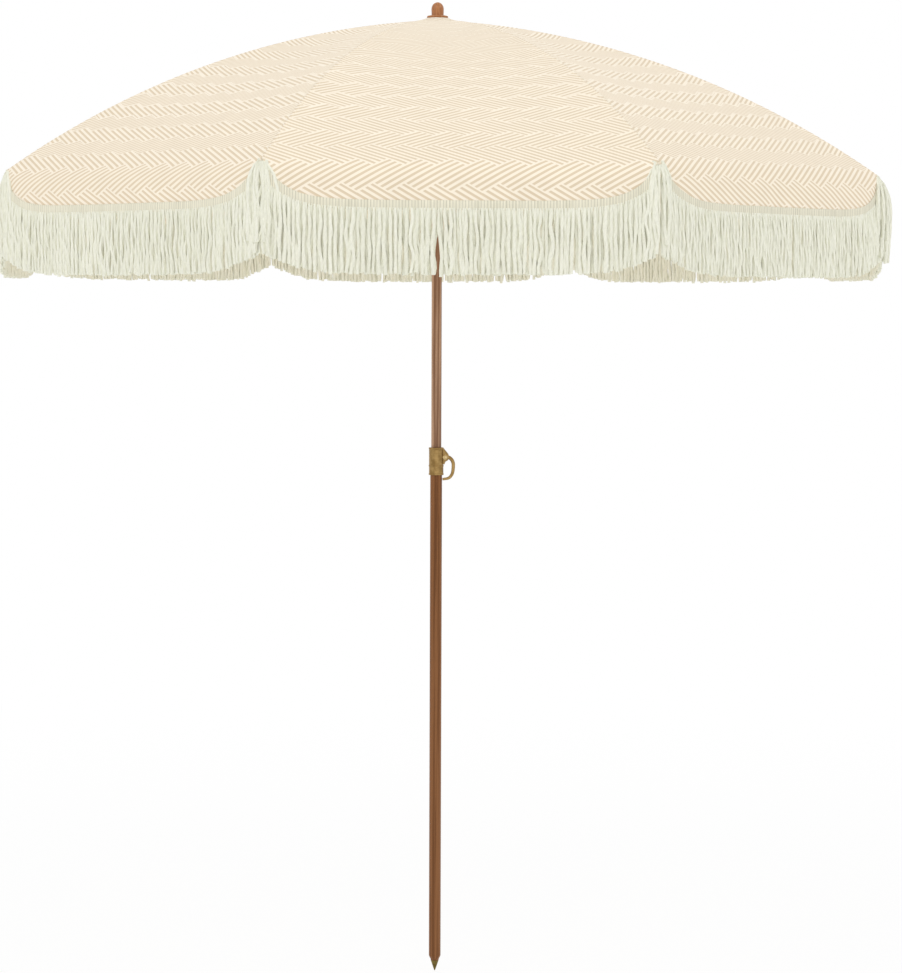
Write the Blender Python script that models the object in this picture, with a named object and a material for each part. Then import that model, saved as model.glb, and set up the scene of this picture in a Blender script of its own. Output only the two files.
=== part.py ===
"""Beach umbrella: telescoping pole, eight-rib folding canopy and cotton fringe.

Units are metres, +Z is up and the origin is the point of the ground spike.
Every repeated piece is drawn in a radial frame, with x outwards and y along the rim,
and is then turned to its place round the pole.
"""

import math

import bmesh
import bpy
from mathutils import Matrix, Vector

# Clearances
SEAT_GAP = 0.0003
SLIDE_GAP = 0.0004
PIVOT_GAP = 0.00035
SLOT_GAP = 0.0003
CLOTH_GAP = 0.0009

TELESCOPE_GAP = 0.0008
CAM_GAP = 0.0009

# Pole: the outer tube's height is the height of the step in the collar above it
UPPER_TUBE_R = 0.012
TUBE_WALL = 0.0012
COLLAR_STEP = 1.2145
SPIKE_HEIGHT = 0.026
TAPER_HEIGHT = 0.012
SPIKE_POINT_R = 0.0008
SPIKE_SHANK = 0.035
TUBE_OVERLAP = 0.1847
TUBE_INTO_HUB = 0.0073
PLUG_FLANGE = 0.014
PLUG_STEM = 0.03

# Clamp collar and its lever
COLLAR_BELOW = 0.0237
COLLAR_ABOVE = 0.0413
COLLAR_WALL = 0.0028
COLLAR_LIP = 0.0007
COLLAR_LIP_HEIGHT = 0.004
EAR_R = 0.0095
EAR_FOOT_R = 0.0035
EAR_THICK = 0.0035
LEVER_WIDTH = 0.0074
LEVER_OUT = 0.0064
LEVER_UP = 0.018
LEVER_PIN_R = 0.003
LEVER_HEAD_R = 0.0048
LEVER_HEAD_THICK = 0.0012
# Bar of the lever from the eye to its end: outward and upward from the pivot, and half its thickness
LEVER_BAR = (
    (0.0110, -0.0010, 0.0043),
    (0.0165, -0.0060, 0.0042),
    (0.0195, -0.0125, 0.0041),
    (0.0202, -0.0205, 0.0040),
    (0.0190, -0.0340, 0.0038),
    (0.0155, -0.0430, 0.0036),
    (0.0085, -0.0495, 0.0033),
    (-0.0020, -0.0519, 0.0030),
)

# Crown and runner
RIBS = 8
CROWN_PIVOT_Z = 2.243
HUB_CORE_WALL = 0.0092
EYE_BACK = 0.0015
HUB_EDGE = 0.005
HUB_BELOW = 0.0065
HUB_ABOVE = 0.0085
WIRE_R = 0.00125
EYE_R = 0.004
EYE_THICK = 0.003
RUNNER_ABOVE = 0.006
RUNNER_SLEEVE = 0.055
RUNNER_WALL = 0.0042
RUNNER_LIP = 0.002
RUNNER_LIP_HEIGHT = 0.008

# Ribs and stretchers
RIB_ROD_R = 0.0025
RIB_ROOT_OUT = 0.017
RIB_ROOT_UP = 0.0066
RIB_TIP_INSIDE = 0.004
RIB_FALL = 0.361
RIB_BOW = 0.068
RIB_FITTING = 0.016
RIB_FLAT_R = 0.0021
BRACKET_PLACE = 0.43
BRACKET_DROP = 0.012
BRACKET_HALF = 0.01
STRETCHER_ROD_R = 0.0022
RIVET_R = 0.0013
RIVET_PROUD = 0.0003
FORK_CHEEK = 0.0014
FORK_EYE_R = 0.0036
FORK_BASE = 0.0105
FORK_END = 0.018

# Cloth
CLOTH_THICK = 0.0012
CLOTH_HUB_GAP = 0.002
CLOTH_CORNER_R = 1.04
CLOTH_DIP = 0.008
SEAM_GAP = 0.0006
VALANCE_DROP = 0.088
SCALLOP_ROUND = 0.042
SCALLOP_START = 0.004
FRINGE_THICK = 0.002
FRINGE_HEADER = 0.017
FRINGE_LENGTH = 0.14
FRINGE_CORNER_EXTRA = 0.04
FRINGE_CORNER_REACH = 0.02
FRINGE_TUFTS = 18
FRINGE_SLIT = 0.0022

# Finial and canopy cap
FINIAL_ABOVE_CROWN = 0.0195
FINIAL_HEIGHT = 0.0375
FINIAL_FLANGE_R = 0.025
FINIAL_FLANGE_THICK = 0.0055
FINIAL_NECK_R = 0.0128
FINIAL_R = 0.0145
FINIAL_DOME = 0.0167
FINIAL_STEM = 0.057
CAP_OVER = 0.01
CAP_THICK = 0.001

# Spring catch under the open runner
CATCH_PIN_X = 0.004
CATCH_PIN_BELOW = 0.0573
CATCH_PIN_R = 0.0015
CATCH_EYE_R = 0.0032
CATCH_THICK = 0.003
CATCH_PROUD = 0.0035
CATCH_INSIDE = 0.0044
CATCH_NOSE = 0.018
CATCH_STRIP_R = 0.0015
CATCH_SLOT_END = 0.002

# Fineness of round shapes
TUBE_SIDES = 24
ROD_SIDES = 6
EYE_SIDES = 10
RIB_STEPS = 12
RING_STEPS = 32
PANEL_ROWS = 12
PANEL_COLUMNS = 2
SCALLOP_POINTS = 21
DOME_STEPS = 6
MERGE_DISTANCE = 1e-6
SHARP_EDGE = math.radians(35)
FLAT_EDGE = math.radians(0.1)

# Places worked out from the sizes above
STEP = 2 * math.pi / RIBS
HALF_STEP = STEP / 2
LOWER_BORE_R = UPPER_TUBE_R + TELESCOPE_GAP
LOWER_TUBE_R = LOWER_BORE_R + TUBE_WALL
UPPER_BORE_R = UPPER_TUBE_R - TUBE_WALL
TAPER_TOP = SPIKE_HEIGHT + TAPER_HEIGHT
NECK_R = LOWER_TUBE_R * SPIKE_HEIGHT / TAPER_TOP
COLLAR_BOTTOM = COLLAR_STEP - COLLAR_BELOW
COLLAR_TOP = COLLAR_STEP + COLLAR_ABOVE
LEVER_PIVOT_X = LOWER_TUBE_R + LEVER_OUT
LEVER_PIVOT_Z = COLLAR_STEP + LEVER_UP
LEVER_EYE_R = LEVER_PIVOT_X - UPPER_TUBE_R - CAM_GAP
UPPER_TUBE_BOTTOM = COLLAR_STEP - TUBE_OVERLAP
UPPER_TUBE_TOP = CROWN_PIVOT_Z + TUBE_INTO_HUB
HUB_BORE_R = UPPER_TUBE_R + SEAT_GAP
HUB_CORE_R = HUB_BORE_R + HUB_CORE_WALL
PIVOT_R = HUB_CORE_R + EYE_R + EYE_BACK
HUB_R = PIVOT_R + HUB_EDGE
RIB_ROOT = (PIVOT_R + RIB_ROOT_OUT, CROWN_PIVOT_Z + RIB_ROOT_UP)
RIB_TIP = (CLOTH_CORNER_R - RIB_TIP_INSIDE, CROWN_PIVOT_Z - RIB_FALL)
CLOTH_INNER_R = HUB_R + CLOTH_HUB_GAP
CAP_R = HUB_R + CAP_OVER
FINIAL_FLANGE_Z = CROWN_PIVOT_Z + FINIAL_ABOVE_CROWN
FINIAL_TOP = FINIAL_FLANGE_Z + FINIAL_HEIGHT
EAR_INNER = LEVER_WIDTH / 2 + SLOT_GAP
EAR_OUTER = EAR_INNER + EAR_THICK
SLOT_HALF = EYE_THICK / 2 + SLOT_GAP
GROOVE_HALF = WIRE_R + PIVOT_GAP
EYE_HOLE_R = WIRE_R + PIVOT_GAP
RIVET_HOLE_R = RIVET_R + PIVOT_GAP


def rib_arc():
    """Centre, radius and first and last angle of the arc that a rib's rod is bent to."""
    start = Vector(RIB_ROOT)
    end = Vector(RIB_TIP)
    chord = end - start
    radius = (chord.length_squared / 4 + RIB_BOW**2) / (2 * RIB_BOW)
    up = Vector((-chord.y, chord.x)).normalized()
    centre = (start + end) / 2 - up * (radius - RIB_BOW)
    first, last = (math.atan2(p.y - centre.y, p.x - centre.x) for p in (start, end))
    return centre, radius, first, last


ARC_CENTRE, ARC_RADIUS, ARC_FIRST, ARC_LAST = rib_arc()
CLOTH_UNDER = RIB_ROD_R + CLOTH_GAP
CLOTH_TOP = CLOTH_UNDER + CLOTH_THICK


def arc_point(r, offset):
    """Point of the rib's arc, moved outwards by offset, at distance r from the pole's axis."""
    radius = ARC_RADIUS + offset
    return Vector((r, ARC_CENTRE.y + math.sqrt(radius**2 - (r - ARC_CENTRE.x) ** 2)))


def arc_normal(r):
    """Direction away from the arc's centre at distance r from the pole's axis."""
    return (arc_point(r, 0) - ARC_CENTRE).normalized()


# Linkage: the rib's inner length equals the stretcher's length, so the runner moves straight
CROWN_PIVOT = Vector((PIVOT_R, CROWN_PIVOT_Z))
BRACKET_PIVOT = arc_point(BRACKET_PLACE, 0) - arc_normal(BRACKET_PLACE) * BRACKET_DROP
RUNNER_PIVOT = Vector((PIVOT_R, 2 * BRACKET_PIVOT.y - CROWN_PIVOT_Z))
RUNNER_BOTTOM = RUNNER_PIVOT.y - RUNNER_SLEEVE
CATCH_PIN_Z = RUNNER_BOTTOM - CATCH_PIN_BELOW
STRETCHER_WAY = (RUNNER_PIVOT - BRACKET_PIVOT).normalized()

# Rim line of a panel, which the valance hangs from
RIM = arc_point(CLOTH_CORNER_R, CLOTH_UNDER)
RIM_X = RIM.x * math.cos(HALF_STEP)
RIM_HALF = RIM.x * math.sin(HALF_STEP)
PANEL_HINGE_X = PIVOT_R * math.cos(HALF_STEP)


def clear_scene():
    """Remove every object of the scene."""
    for obj in list(bpy.data.objects):
        bpy.data.objects.remove(obj, do_unlink=True)


def make_finish(name, colour, roughness, metallic):
    """A Principled material of one colour."""
    finish = bpy.data.materials.new(name)
    finish.use_nodes = True
    shader = finish.node_tree.nodes["Principled BSDF"]
    shader.inputs["Base Color"].default_value = (*colour, 1)
    shader.inputs["Roughness"].default_value = roughness
    shader.inputs["Metallic"].default_value = metallic
    finish.diffuse_color = (*colour, 1)
    return finish


def close_mesh(shape):
    """Merge doubled points and point every face outwards."""
    bmesh.ops.remove_doubles(shape, verts=shape.verts, dist=MERGE_DISTANCE)
    bmesh.ops.recalc_face_normals(shape, faces=shape.faces)
    return shape


def turned(profile, sides=TUBE_SIDES):
    """Solid turned about Z from a closed outline of (radius, height) points."""
    shape = bmesh.new()
    points = [shape.verts.new((r, 0, z)) for r, z in profile]
    edges = [shape.edges.new((a, b)) for a, b in zip(points, points[1:] + points[:1])]
    bmesh.ops.spin(
        shape,
        geom=points + edges,
        axis=(0, 0, 1),
        cent=(0, 0, 0),
        angle=2 * math.pi,
        steps=sides,
        use_merge=True,
    )
    on_axis = [v for v in shape.verts if math.hypot(v.co.x, v.co.y) < MERGE_DISTANCE]
    for v in on_axis:
        v.co.x = v.co.y = 0
    bmesh.ops.dissolve_degenerate(shape, dist=MERGE_DISTANCE, edges=shape.edges)
    loose = [e for e in shape.edges if not e.link_faces]
    bmesh.ops.delete(shape, geom=loose, context="EDGES")
    return close_mesh(shape)


def rod(start, end, radius, sides=ROD_SIDES):
    """Round bar between two points."""
    start, end = Vector(start), Vector(end)
    way = end - start
    turn = way.to_track_quat("Z", "Y").to_matrix().to_4x4()
    shape = bmesh.new()
    bmesh.ops.create_cone(
        shape,
        cap_ends=True,
        segments=sides,
        radius1=radius,
        radius2=radius,
        depth=way.length,
        matrix=Matrix.Translation((start + end) / 2) @ turn,
    )
    return shape


def cross_pin(place, radius, half, sides=EYE_SIDES):
    """Round bar along y through a point (x, z) of the radial plane."""
    return rod((place[0], -half, place[1]), (place[0], half, place[1]), radius, sides)


def block(low, high):
    """Box between two corners."""
    low, high = Vector(low), Vector(high)
    shape = bmesh.new()
    size = Matrix.Diagonal((*(high - low), 1))
    bmesh.ops.create_cube(shape, size=1, matrix=Matrix.Translation((low + high) / 2) @ size)
    return shape


def round_plate(discs, low, high):
    """Flat plate from y = low to y = high round a few discs (x, z, radius)."""
    shape = bmesh.new()
    for x, z, radius in discs:
        for side in range(EYE_SIDES):
            angle = 2 * math.pi * side / EYE_SIDES
            for y in (low, high):
                shape.verts.new((x + radius * math.cos(angle), y, z + radius * math.sin(angle)))
    hull = bmesh.ops.convex_hull(shape, input=shape.verts)
    inner = [g for g in hull["geom_interior"] if isinstance(g, bmesh.types.BMVert)]
    bmesh.ops.delete(shape, geom=inner, context="VERTS")
    bmesh.ops.dissolve_limit(shape, angle_limit=FLAT_EDGE, verts=shape.verts, edges=shape.edges)
    return close_mesh(shape)


def cut_plate(outline, way, thickness):
    """Plate from a closed outline of points, thickened along a direction."""
    shape = bmesh.new()
    face = shape.faces.new([shape.verts.new(p) for p in outline])
    grown = bmesh.ops.extrude_face_region(shape, geom=[face])
    moved = [g for g in grown["geom"] if isinstance(g, bmesh.types.BMVert)]
    bmesh.ops.translate(shape, verts=moved, vec=Vector(way) * thickness)
    return close_mesh(shape)


def ring(radius, wire, height):
    """Wire ring about Z at a height."""
    shape = bmesh.new()
    loop = bmesh.ops.create_circle(
        shape,
        segments=ROD_SIDES,
        radius=wire,
        matrix=Matrix.Translation((radius, 0, height)) @ Matrix.Rotation(math.pi / 2, 4, "X"),
    )["verts"]
    edges = list({e for v in loop for e in v.link_edges})
    bmesh.ops.spin(
        shape,
        geom=loop + edges,
        axis=(0, 0, 1),
        cent=(0, 0, 0),
        angle=2 * math.pi,
        steps=RING_STEPS,
        use_merge=True,
    )
    return close_mesh(shape)


def to_object(name, shape):
    """New object of the scene from a shape."""
    mesh = bpy.data.meshes.new(name)
    shape.to_mesh(mesh)
    shape.free()
    obj = bpy.data.objects.new(name, mesh)
    bpy.context.collection.objects.link(obj)
    return obj


def carve(base, *steps):
    """Join shapes to a base or cut them from it, in order, and return the mesh."""
    body = to_object("work", base)
    tools = []
    for operation, shape in steps:
        tool = to_object("tool", shape)
        tool.hide_render = True
        tool.display_type = "WIRE"
        change = body.modifiers.new(operation, "BOOLEAN")
        change.operation = operation
        change.solver = "EXACT"
        change.object = tool
        tools.append(tool)
    graph = bpy.context.evaluated_depsgraph_get()
    mesh = bpy.data.meshes.new_from_object(body.evaluated_get(graph))
    for obj in [body, *tools]:
        bpy.data.objects.remove(obj, do_unlink=True)
    return mesh


def mesh_of(shape):
    """Mesh of a shape that needs no joining or cutting."""
    mesh = bpy.data.meshes.new("piece")
    shape.to_mesh(mesh)
    shape.free()
    return mesh


def place(name, mesh, finish, origin, azimuth=0.0):
    """Object for a mesh drawn in the radial frame, with its own origin, turned to an azimuth."""
    if not mesh.materials:
        mesh.transform(Matrix.Translation(-Vector(origin)))
        mesh.materials.append(finish)
        mesh.shade_smooth()
        mesh.set_sharp_from_angle(angle=SHARP_EDGE)
    obj = bpy.data.objects.new(name, mesh)
    bpy.context.collection.objects.link(obj)
    turn = Matrix.Rotation(azimuth, 4, "Z")
    obj.location = turn @ Vector(origin)
    obj.rotation_euler = (0, 0, azimuth)
    return obj


def rib_azimuth(number):
    """Azimuth of rib number 1 to 8, half a step past the X axis."""
    return HALF_STEP + (number - 1) * STEP


def panel_azimuth(number):
    """Azimuth of panel number 1 to 8, which follows the rib of the same number."""
    return rib_azimuth(number) + HALF_STEP


def slots():
    """Cutting blocks for the eyes round a hub or the runner, over its whole height."""
    low = (HUB_CORE_R, -SLOT_HALF, UPPER_TUBE_BOTTOM)
    high = (2 * HUB_R, SLOT_HALF, FINIAL_TOP)
    for number in range(1, RIBS + 1):
        shape = block(low, high)
        shape.transform(Matrix.Rotation(rib_azimuth(number), 4, "Z"))
        yield "DIFFERENCE", shape


def grooved_rim(low, high, pivot_z):
    """Outline of a rim with a wire groove at the pivots, from its top to its bottom."""
    groove_r = PIVOT_R - GROOVE_HALF
    return [
        (HUB_R, high),
        (HUB_R, pivot_z + GROOVE_HALF),
        (groove_r, pivot_z + GROOVE_HALF),
        (groove_r, pivot_z - GROOVE_HALF),
        (HUB_R, pivot_z - GROOVE_HALF),
        (HUB_R, low),
    ]


def spike_tip():
    """Metal point with a shank inside the pole's neck."""
    shank_r = NECK_R - TUBE_WALL - SEAT_GAP
    shoulder = SPIKE_HEIGHT - SEAT_GAP
    top = SPIKE_HEIGHT + SPIKE_SHANK
    shank = [(0, top), (shank_r, top), (shank_r, shoulder)]
    point = [(NECK_R, shoulder), (SPIKE_POINT_R, 0), (0, 0)]
    return mesh_of(turned(shank + point))


def lower_pole():
    """Ground tube, drawn in to a neck over the spike."""
    top = COLLAR_STEP - SEAT_GAP
    return mesh_of(
        turned(
            [
                (LOWER_TUBE_R, top),
                (LOWER_TUBE_R, TAPER_TOP),
                (NECK_R, SPIKE_HEIGHT),
                (NECK_R - TUBE_WALL, SPIKE_HEIGHT),
                (LOWER_BORE_R, TAPER_TOP),
                (LOWER_BORE_R, top),
            ]
        )
    )


def clamp_collar():
    """Split collar: a ring over the lower tube, and ears that squeeze the upper tube."""
    low_bore = LOWER_TUBE_R + SEAT_GAP
    high_bore = UPPER_TUBE_R + SLIDE_GAP
    outer = low_bore + COLLAR_WALL
    lip = outer + COLLAR_LIP
    base = turned(
        [
            (lip, COLLAR_TOP),
            (lip, COLLAR_TOP - COLLAR_LIP_HEIGHT),
            (outer, COLLAR_TOP - COLLAR_LIP_HEIGHT),
            (outer, COLLAR_STEP),
            (lip, COLLAR_STEP),
            (lip, COLLAR_STEP - COLLAR_LIP_HEIGHT),
            (outer, COLLAR_STEP - COLLAR_LIP_HEIGHT),
            (outer, COLLAR_BOTTOM + COLLAR_LIP_HEIGHT),
            (lip, COLLAR_BOTTOM + COLLAR_LIP_HEIGHT),
            (lip, COLLAR_BOTTOM),
            (low_bore, COLLAR_BOTTOM),
            (low_bore, COLLAR_STEP),
            (high_bore, COLLAR_STEP),
            (high_bore, COLLAR_TOP),
        ]
    )
    foot_x = UPPER_TUBE_R
    feet = [
        (foot_x, COLLAR_TOP - EAR_FOOT_R, EAR_FOOT_R),
        (foot_x, COLLAR_STEP + 2 * EAR_FOOT_R, EAR_FOOT_R),
    ]
    discs = [(LEVER_PIVOT_X, LEVER_PIVOT_Z, EAR_R), *feet]
    pivot = (LEVER_PIVOT_X, LEVER_PIVOT_Z)
    slit_bottom = COLLAR_STEP + EAR_FOOT_R
    slit = block((0, -EAR_INNER, slit_bottom), (2 * LEVER_PIVOT_X, EAR_INNER, 2 * COLLAR_TOP))
    bore = rod((0, 0, COLLAR_STEP), (0, 0, 2 * COLLAR_TOP), high_bore, TUBE_SIDES)
    return carve(
        base,
        ("UNION", round_plate(discs, EAR_INNER, EAR_OUTER)),
        ("UNION", round_plate(discs, -EAR_OUTER, -EAR_INNER)),
        ("DIFFERENCE", slit),
        ("DIFFERENCE", bore),
        ("DIFFERENCE", cross_pin(pivot, LEVER_PIN_R + PIVOT_GAP, 2 * EAR_OUTER)),
    )


def lever_pin():
    """Pin through the ears, with a head outside each."""
    pivot = (LEVER_PIVOT_X, LEVER_PIVOT_Z)
    head_low = EAR_OUTER + SEAT_GAP
    head_high = head_low + LEVER_HEAD_THICK
    heads = []
    for side in (-1, 1):
        inner = (pivot[0], side * head_low, pivot[1])
        outer = (pivot[0], side * head_high, pivot[1])
        heads.append(("UNION", rod(inner, outer, LEVER_HEAD_R, EYE_SIDES)))
    return carve(cross_pin(pivot, LEVER_PIN_R, head_low + LEVER_HEAD_THICK / 2), *heads)


def clamp_lever():
    """Curved cam lever: an eye on the pin and a bar that bends down and back to the pole."""
    pivot = (LEVER_PIVOT_X, LEVER_PIVOT_Z)
    half_width = LEVER_WIDTH / 2
    bar = [(pivot[0] + out, pivot[1] + up, half) for out, up, half in LEVER_BAR]
    outer = []
    inner = []
    for index, (x, z, half) in enumerate(bar):
        before = Vector(bar[max(index - 1, 0)][:2])
        after = Vector(bar[min(index + 1, len(bar) - 1)][:2])
        way = (after - before).normalized()
        side = Vector((-way.y, way.x)) * half
        outer.append((x + side.x, -half_width, z + side.y))
        inner.append((x - side.x, -half_width, z - side.y))
    outline = outer + inner[::-1]
    eye = round_plate([(*pivot, LEVER_EYE_R), bar[0]], -half_width, half_width)
    hole = cross_pin(pivot, LEVER_PIN_R + PIVOT_GAP, LEVER_WIDTH)
    return carve(cut_plate(outline, (0, 1, 0), LEVER_WIDTH), ("UNION", eye), ("DIFFERENCE", hole))


def upper_pole():
    """Sliding tube, with a slot for the spring catch."""
    tube = turned(
        [
            (UPPER_TUBE_R, UPPER_TUBE_TOP),
            (UPPER_TUBE_R, UPPER_TUBE_BOTTOM),
            (UPPER_BORE_R, UPPER_TUBE_BOTTOM),
            (UPPER_BORE_R, UPPER_TUBE_TOP),
        ]
    )
    half = CATCH_THICK / 2 + SLOT_GAP
    low = RUNNER_BOTTOM - CATCH_NOSE - 2 * CATCH_SLOT_END
    slot = block((0, -half, low), (2 * UPPER_TUBE_R, half, RUNNER_BOTTOM + CATCH_SLOT_END))
    return carve(tube, ("DIFFERENCE", slot))


def pole_plug():
    """End plug of the sliding tube, which guides it in the lower tube."""
    stem_r = UPPER_BORE_R - SEAT_GAP
    guide_r = LOWER_BORE_R - SLIDE_GAP
    seat = UPPER_TUBE_BOTTOM - SEAT_GAP
    top = seat + PLUG_STEM
    bottom = seat - PLUG_FLANGE
    stem = [(0, top), (stem_r, top), (stem_r, seat)]
    guide = [(guide_r, seat), (guide_r, bottom), (0, bottom)]
    return mesh_of(turned(stem + guide))


def crown_hub():
    """Slotted hub fixed on top of the sliding tube."""
    low = CROWN_PIVOT_Z - HUB_BELOW
    high = CROWN_PIVOT_Z + HUB_ABOVE
    rim = grooved_rim(low, high, CROWN_PIVOT_Z)
    return carve(turned([*rim, (HUB_BORE_R, low), (HUB_BORE_R, high)]), *slots())


def runner():
    """Slotted rim with a sleeve that slides on the tube."""
    bore = UPPER_TUBE_R + SLIDE_GAP
    sleeve = bore + RUNNER_WALL
    pivot_z = RUNNER_PIVOT.y
    low = pivot_z - HUB_BELOW
    high = pivot_z + RUNNER_ABOVE
    lip_top = RUNNER_BOTTOM + RUNNER_LIP_HEIGHT
    profile = [
        *grooved_rim(low, high, pivot_z),
        (sleeve, low),
        (sleeve, lip_top),
        (sleeve + RUNNER_LIP, lip_top),
        (sleeve + RUNNER_LIP, RUNNER_BOTTOM),
        (bore, RUNNER_BOTTOM),
        (bore, high),
    ]
    return carve(turned(profile), *slots())


def finial():
    """Turned wooden knob with a flange, and a stem inside the tube."""
    stem_r = UPPER_BORE_R - SEAT_GAP
    flange_top = FINIAL_FLANGE_Z + FINIAL_FLANGE_THICK
    dome = []
    for step in range(DOME_STEPS + 1):
        angle = math.pi / 2 * step / DOME_STEPS
        height = FINIAL_TOP - FINIAL_DOME * (1 - math.cos(angle))
        dome.append((FINIAL_R * math.sin(angle), height))
    foot = [
        (FINIAL_NECK_R, flange_top),
        (FINIAL_FLANGE_R, flange_top),
        (FINIAL_FLANGE_R, FINIAL_FLANGE_Z),
        (stem_r, FINIAL_FLANGE_Z),
        (stem_r, FINIAL_FLANGE_Z - FINIAL_STEM),
        (0, FINIAL_FLANGE_Z - FINIAL_STEM),
    ]
    return mesh_of(turned(dome + foot))


def canopy_cap():
    """Cloth washer between the finial's flange and the tops of the panels."""
    top = FINIAL_FLANGE_Z - SEAT_GAP
    rim = arc_point(CAP_R, CLOTH_TOP).y + SEAT_GAP
    outer = [(CAP_R, rim + CAP_THICK), (CAP_R, rim)]
    return mesh_of(turned([(UPPER_BORE_R, top), *outer, (UPPER_BORE_R, top - CAP_THICK)]))


def spring_catch():
    """Catch that stands out of the tube under the runner and pivots on a pin inside the tube."""
    top = RUNNER_BOTTOM - SEAT_GAP
    nose_x = UPPER_TUBE_R + CATCH_PROUD
    back_x = UPPER_TUBE_R - CATCH_INSIDE
    outline = [
        (back_x, top - CATCH_NOSE),
        (UPPER_BORE_R, top - CATCH_NOSE),
        (nose_x, top - CATCH_NOSE / 3),
        (nose_x, top),
        (back_x, top),
    ]
    half = CATCH_THICK / 2
    strip = [
        (CATCH_PIN_X, CATCH_PIN_Z, CATCH_EYE_R),
        (back_x + CATCH_STRIP_R, top - CATCH_NOSE / 2, CATCH_STRIP_R),
    ]
    hole = cross_pin((CATCH_PIN_X, CATCH_PIN_Z), CATCH_PIN_R + PIVOT_GAP, CATCH_THICK)
    return carve(
        cut_plate([(x, -half, z) for x, z in outline], (0, 1, 0), CATCH_THICK),
        ("UNION", round_plate(strip, -half, half)),
        ("DIFFERENCE", hole),
    )


def catch_pin():
    """Cross pin inside the tube that carries the catch."""
    half = math.sqrt(UPPER_BORE_R**2 - (CATCH_PIN_X + CATCH_PIN_R) ** 2) - SEAT_GAP
    return mesh_of(cross_pin((CATCH_PIN_X, CATCH_PIN_Z), CATCH_PIN_R, half))


def rib():
    """Bowed rod with a flat eye at the crown and a bracket for the stretcher."""
    shape = bmesh.new()
    start = arc_point(RIB_ROOT[0], 0)
    up = arc_normal(RIB_ROOT[0]) * RIB_ROD_R
    loop = []
    for side in range(ROD_SIDES):
        angle = 2 * math.pi * side / ROD_SIDES
        across = RIB_ROD_R * math.sin(angle)
        offset = start + up * math.cos(angle)
        loop.append(shape.verts.new((offset.x, across, offset.y)))
    edges = [shape.edges.new((a, b)) for a, b in zip(loop, loop[1:] + loop[:1])]
    bmesh.ops.spin(
        shape,
        geom=loop + edges,
        axis=(0, 1, 0),
        cent=(ARC_CENTRE.x, 0, ARC_CENTRE.y),
        angle=ARC_FIRST - ARC_LAST,
        steps=RIB_STEPS,
    )
    bmesh.ops.holes_fill(shape, edges=[e for e in shape.edges if e.is_boundary], sides=0)
    close_mesh(shape)
    half = EYE_THICK / 2
    fitting_end = arc_point(RIB_ROOT[0] + RIB_FITTING, 0)
    fitting = round_plate(
        [(*CROWN_PIVOT, EYE_R), (*start, RIB_FLAT_R), (*fitting_end, RIB_FLAT_R)], -half, half
    )
    bracket = round_plate(
        [
            (*BRACKET_PIVOT, EYE_R),
            (*arc_point(BRACKET_PLACE - BRACKET_HALF, 0), RIB_FLAT_R),
            (*arc_point(BRACKET_PLACE + BRACKET_HALF, 0), RIB_FLAT_R),
        ],
        -half,
        half,
    )
    return carve(
        shape,
        ("UNION", fitting),
        ("UNION", bracket),
        ("DIFFERENCE", cross_pin(CROWN_PIVOT, EYE_HOLE_R, EYE_THICK)),
        ("DIFFERENCE", cross_pin(BRACKET_PIVOT, RIVET_HOLE_R, EYE_THICK)),
    )


def stretcher():
    """Straight strut with an eye on the runner's ring and a riveted fork round the rib's bracket."""
    length = (RUNNER_PIVOT - BRACKET_PIVOT).length

    def along(distance):
        return BRACKET_PIVOT + STRETCHER_WAY * distance

    def disc(distance, radius):
        return (*along(distance), radius)

    def solid_point(distance):
        point = along(distance)
        return (point.x, 0, point.y)

    half = EYE_THICK / 2
    cheek_low = SLOT_HALF
    cheek_high = cheek_low + FORK_CHEEK
    cheek = [disc(0, FORK_EYE_R), disc(FORK_END, STRETCHER_ROD_R)]
    base = [disc(FORK_BASE, STRETCHER_ROD_R), disc(FORK_END, STRETCHER_ROD_R)]
    eye = [disc(length, EYE_R), disc(length - FORK_END, STRETCHER_ROD_R)]
    bar = rod(solid_point(FORK_BASE), solid_point(length - FORK_BASE), STRETCHER_ROD_R)
    return carve(
        bar,
        ("UNION", round_plate(eye, -half, half)),
        ("UNION", round_plate(cheek, cheek_low, cheek_high)),
        ("UNION", round_plate(cheek, -cheek_high, -cheek_low)),
        ("UNION", round_plate(base, -cheek_high, cheek_high)),
        ("UNION", cross_pin(BRACKET_PIVOT, RIVET_R, cheek_high + RIVET_PROUD)),
        ("DIFFERENCE", cross_pin(RUNNER_PIVOT, EYE_HOLE_R, EYE_THICK)),
    )


def panel():
    """Cloth gore between two ribs: straight across, bowed like the ribs, with a slight dip."""
    shape = bmesh.new()
    rows = []
    for row in range(PANEL_ROWS + 1):
        share = row / PANEL_ROWS
        r = CLOTH_INNER_R + (CLOTH_CORNER_R - CLOTH_INNER_R) * share
        point = arc_point(r, CLOTH_UNDER)
        half = r * math.sin(HALF_STEP) - SEAM_GAP / 2
        line = []
        for column in range(PANEL_COLUMNS + 1):
            across = 2 * column / PANEL_COLUMNS - 1
            dip = CLOTH_DIP * math.sin(math.pi * share) * (1 - across**2)
            line.append(shape.verts.new((r * math.cos(HALF_STEP), half * across, point.y - dip)))
        rows.append(line)
    for upper, lower in zip(rows, rows[1:]):
        for column in range(PANEL_COLUMNS):
            quad = upper[column], lower[column], lower[column + 1], upper[column + 1]
            shape.faces.new(quad)
    return mesh_of(shape)


def scallop(y):
    """Depth of the valance below the rim line at a place y along it."""
    return VALANCE_DROP * (1 - math.exp(-(RIM_HALF - abs(y)) / SCALLOP_ROUND))


def scallop_line():
    """Places along the rim, closer together towards the corners."""
    reach = RIM_HALF - SCALLOP_START
    for index in range(SCALLOP_POINTS):
        yield reach * math.sin(math.pi * (index / (SCALLOP_POINTS - 1) - 0.5))


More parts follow.
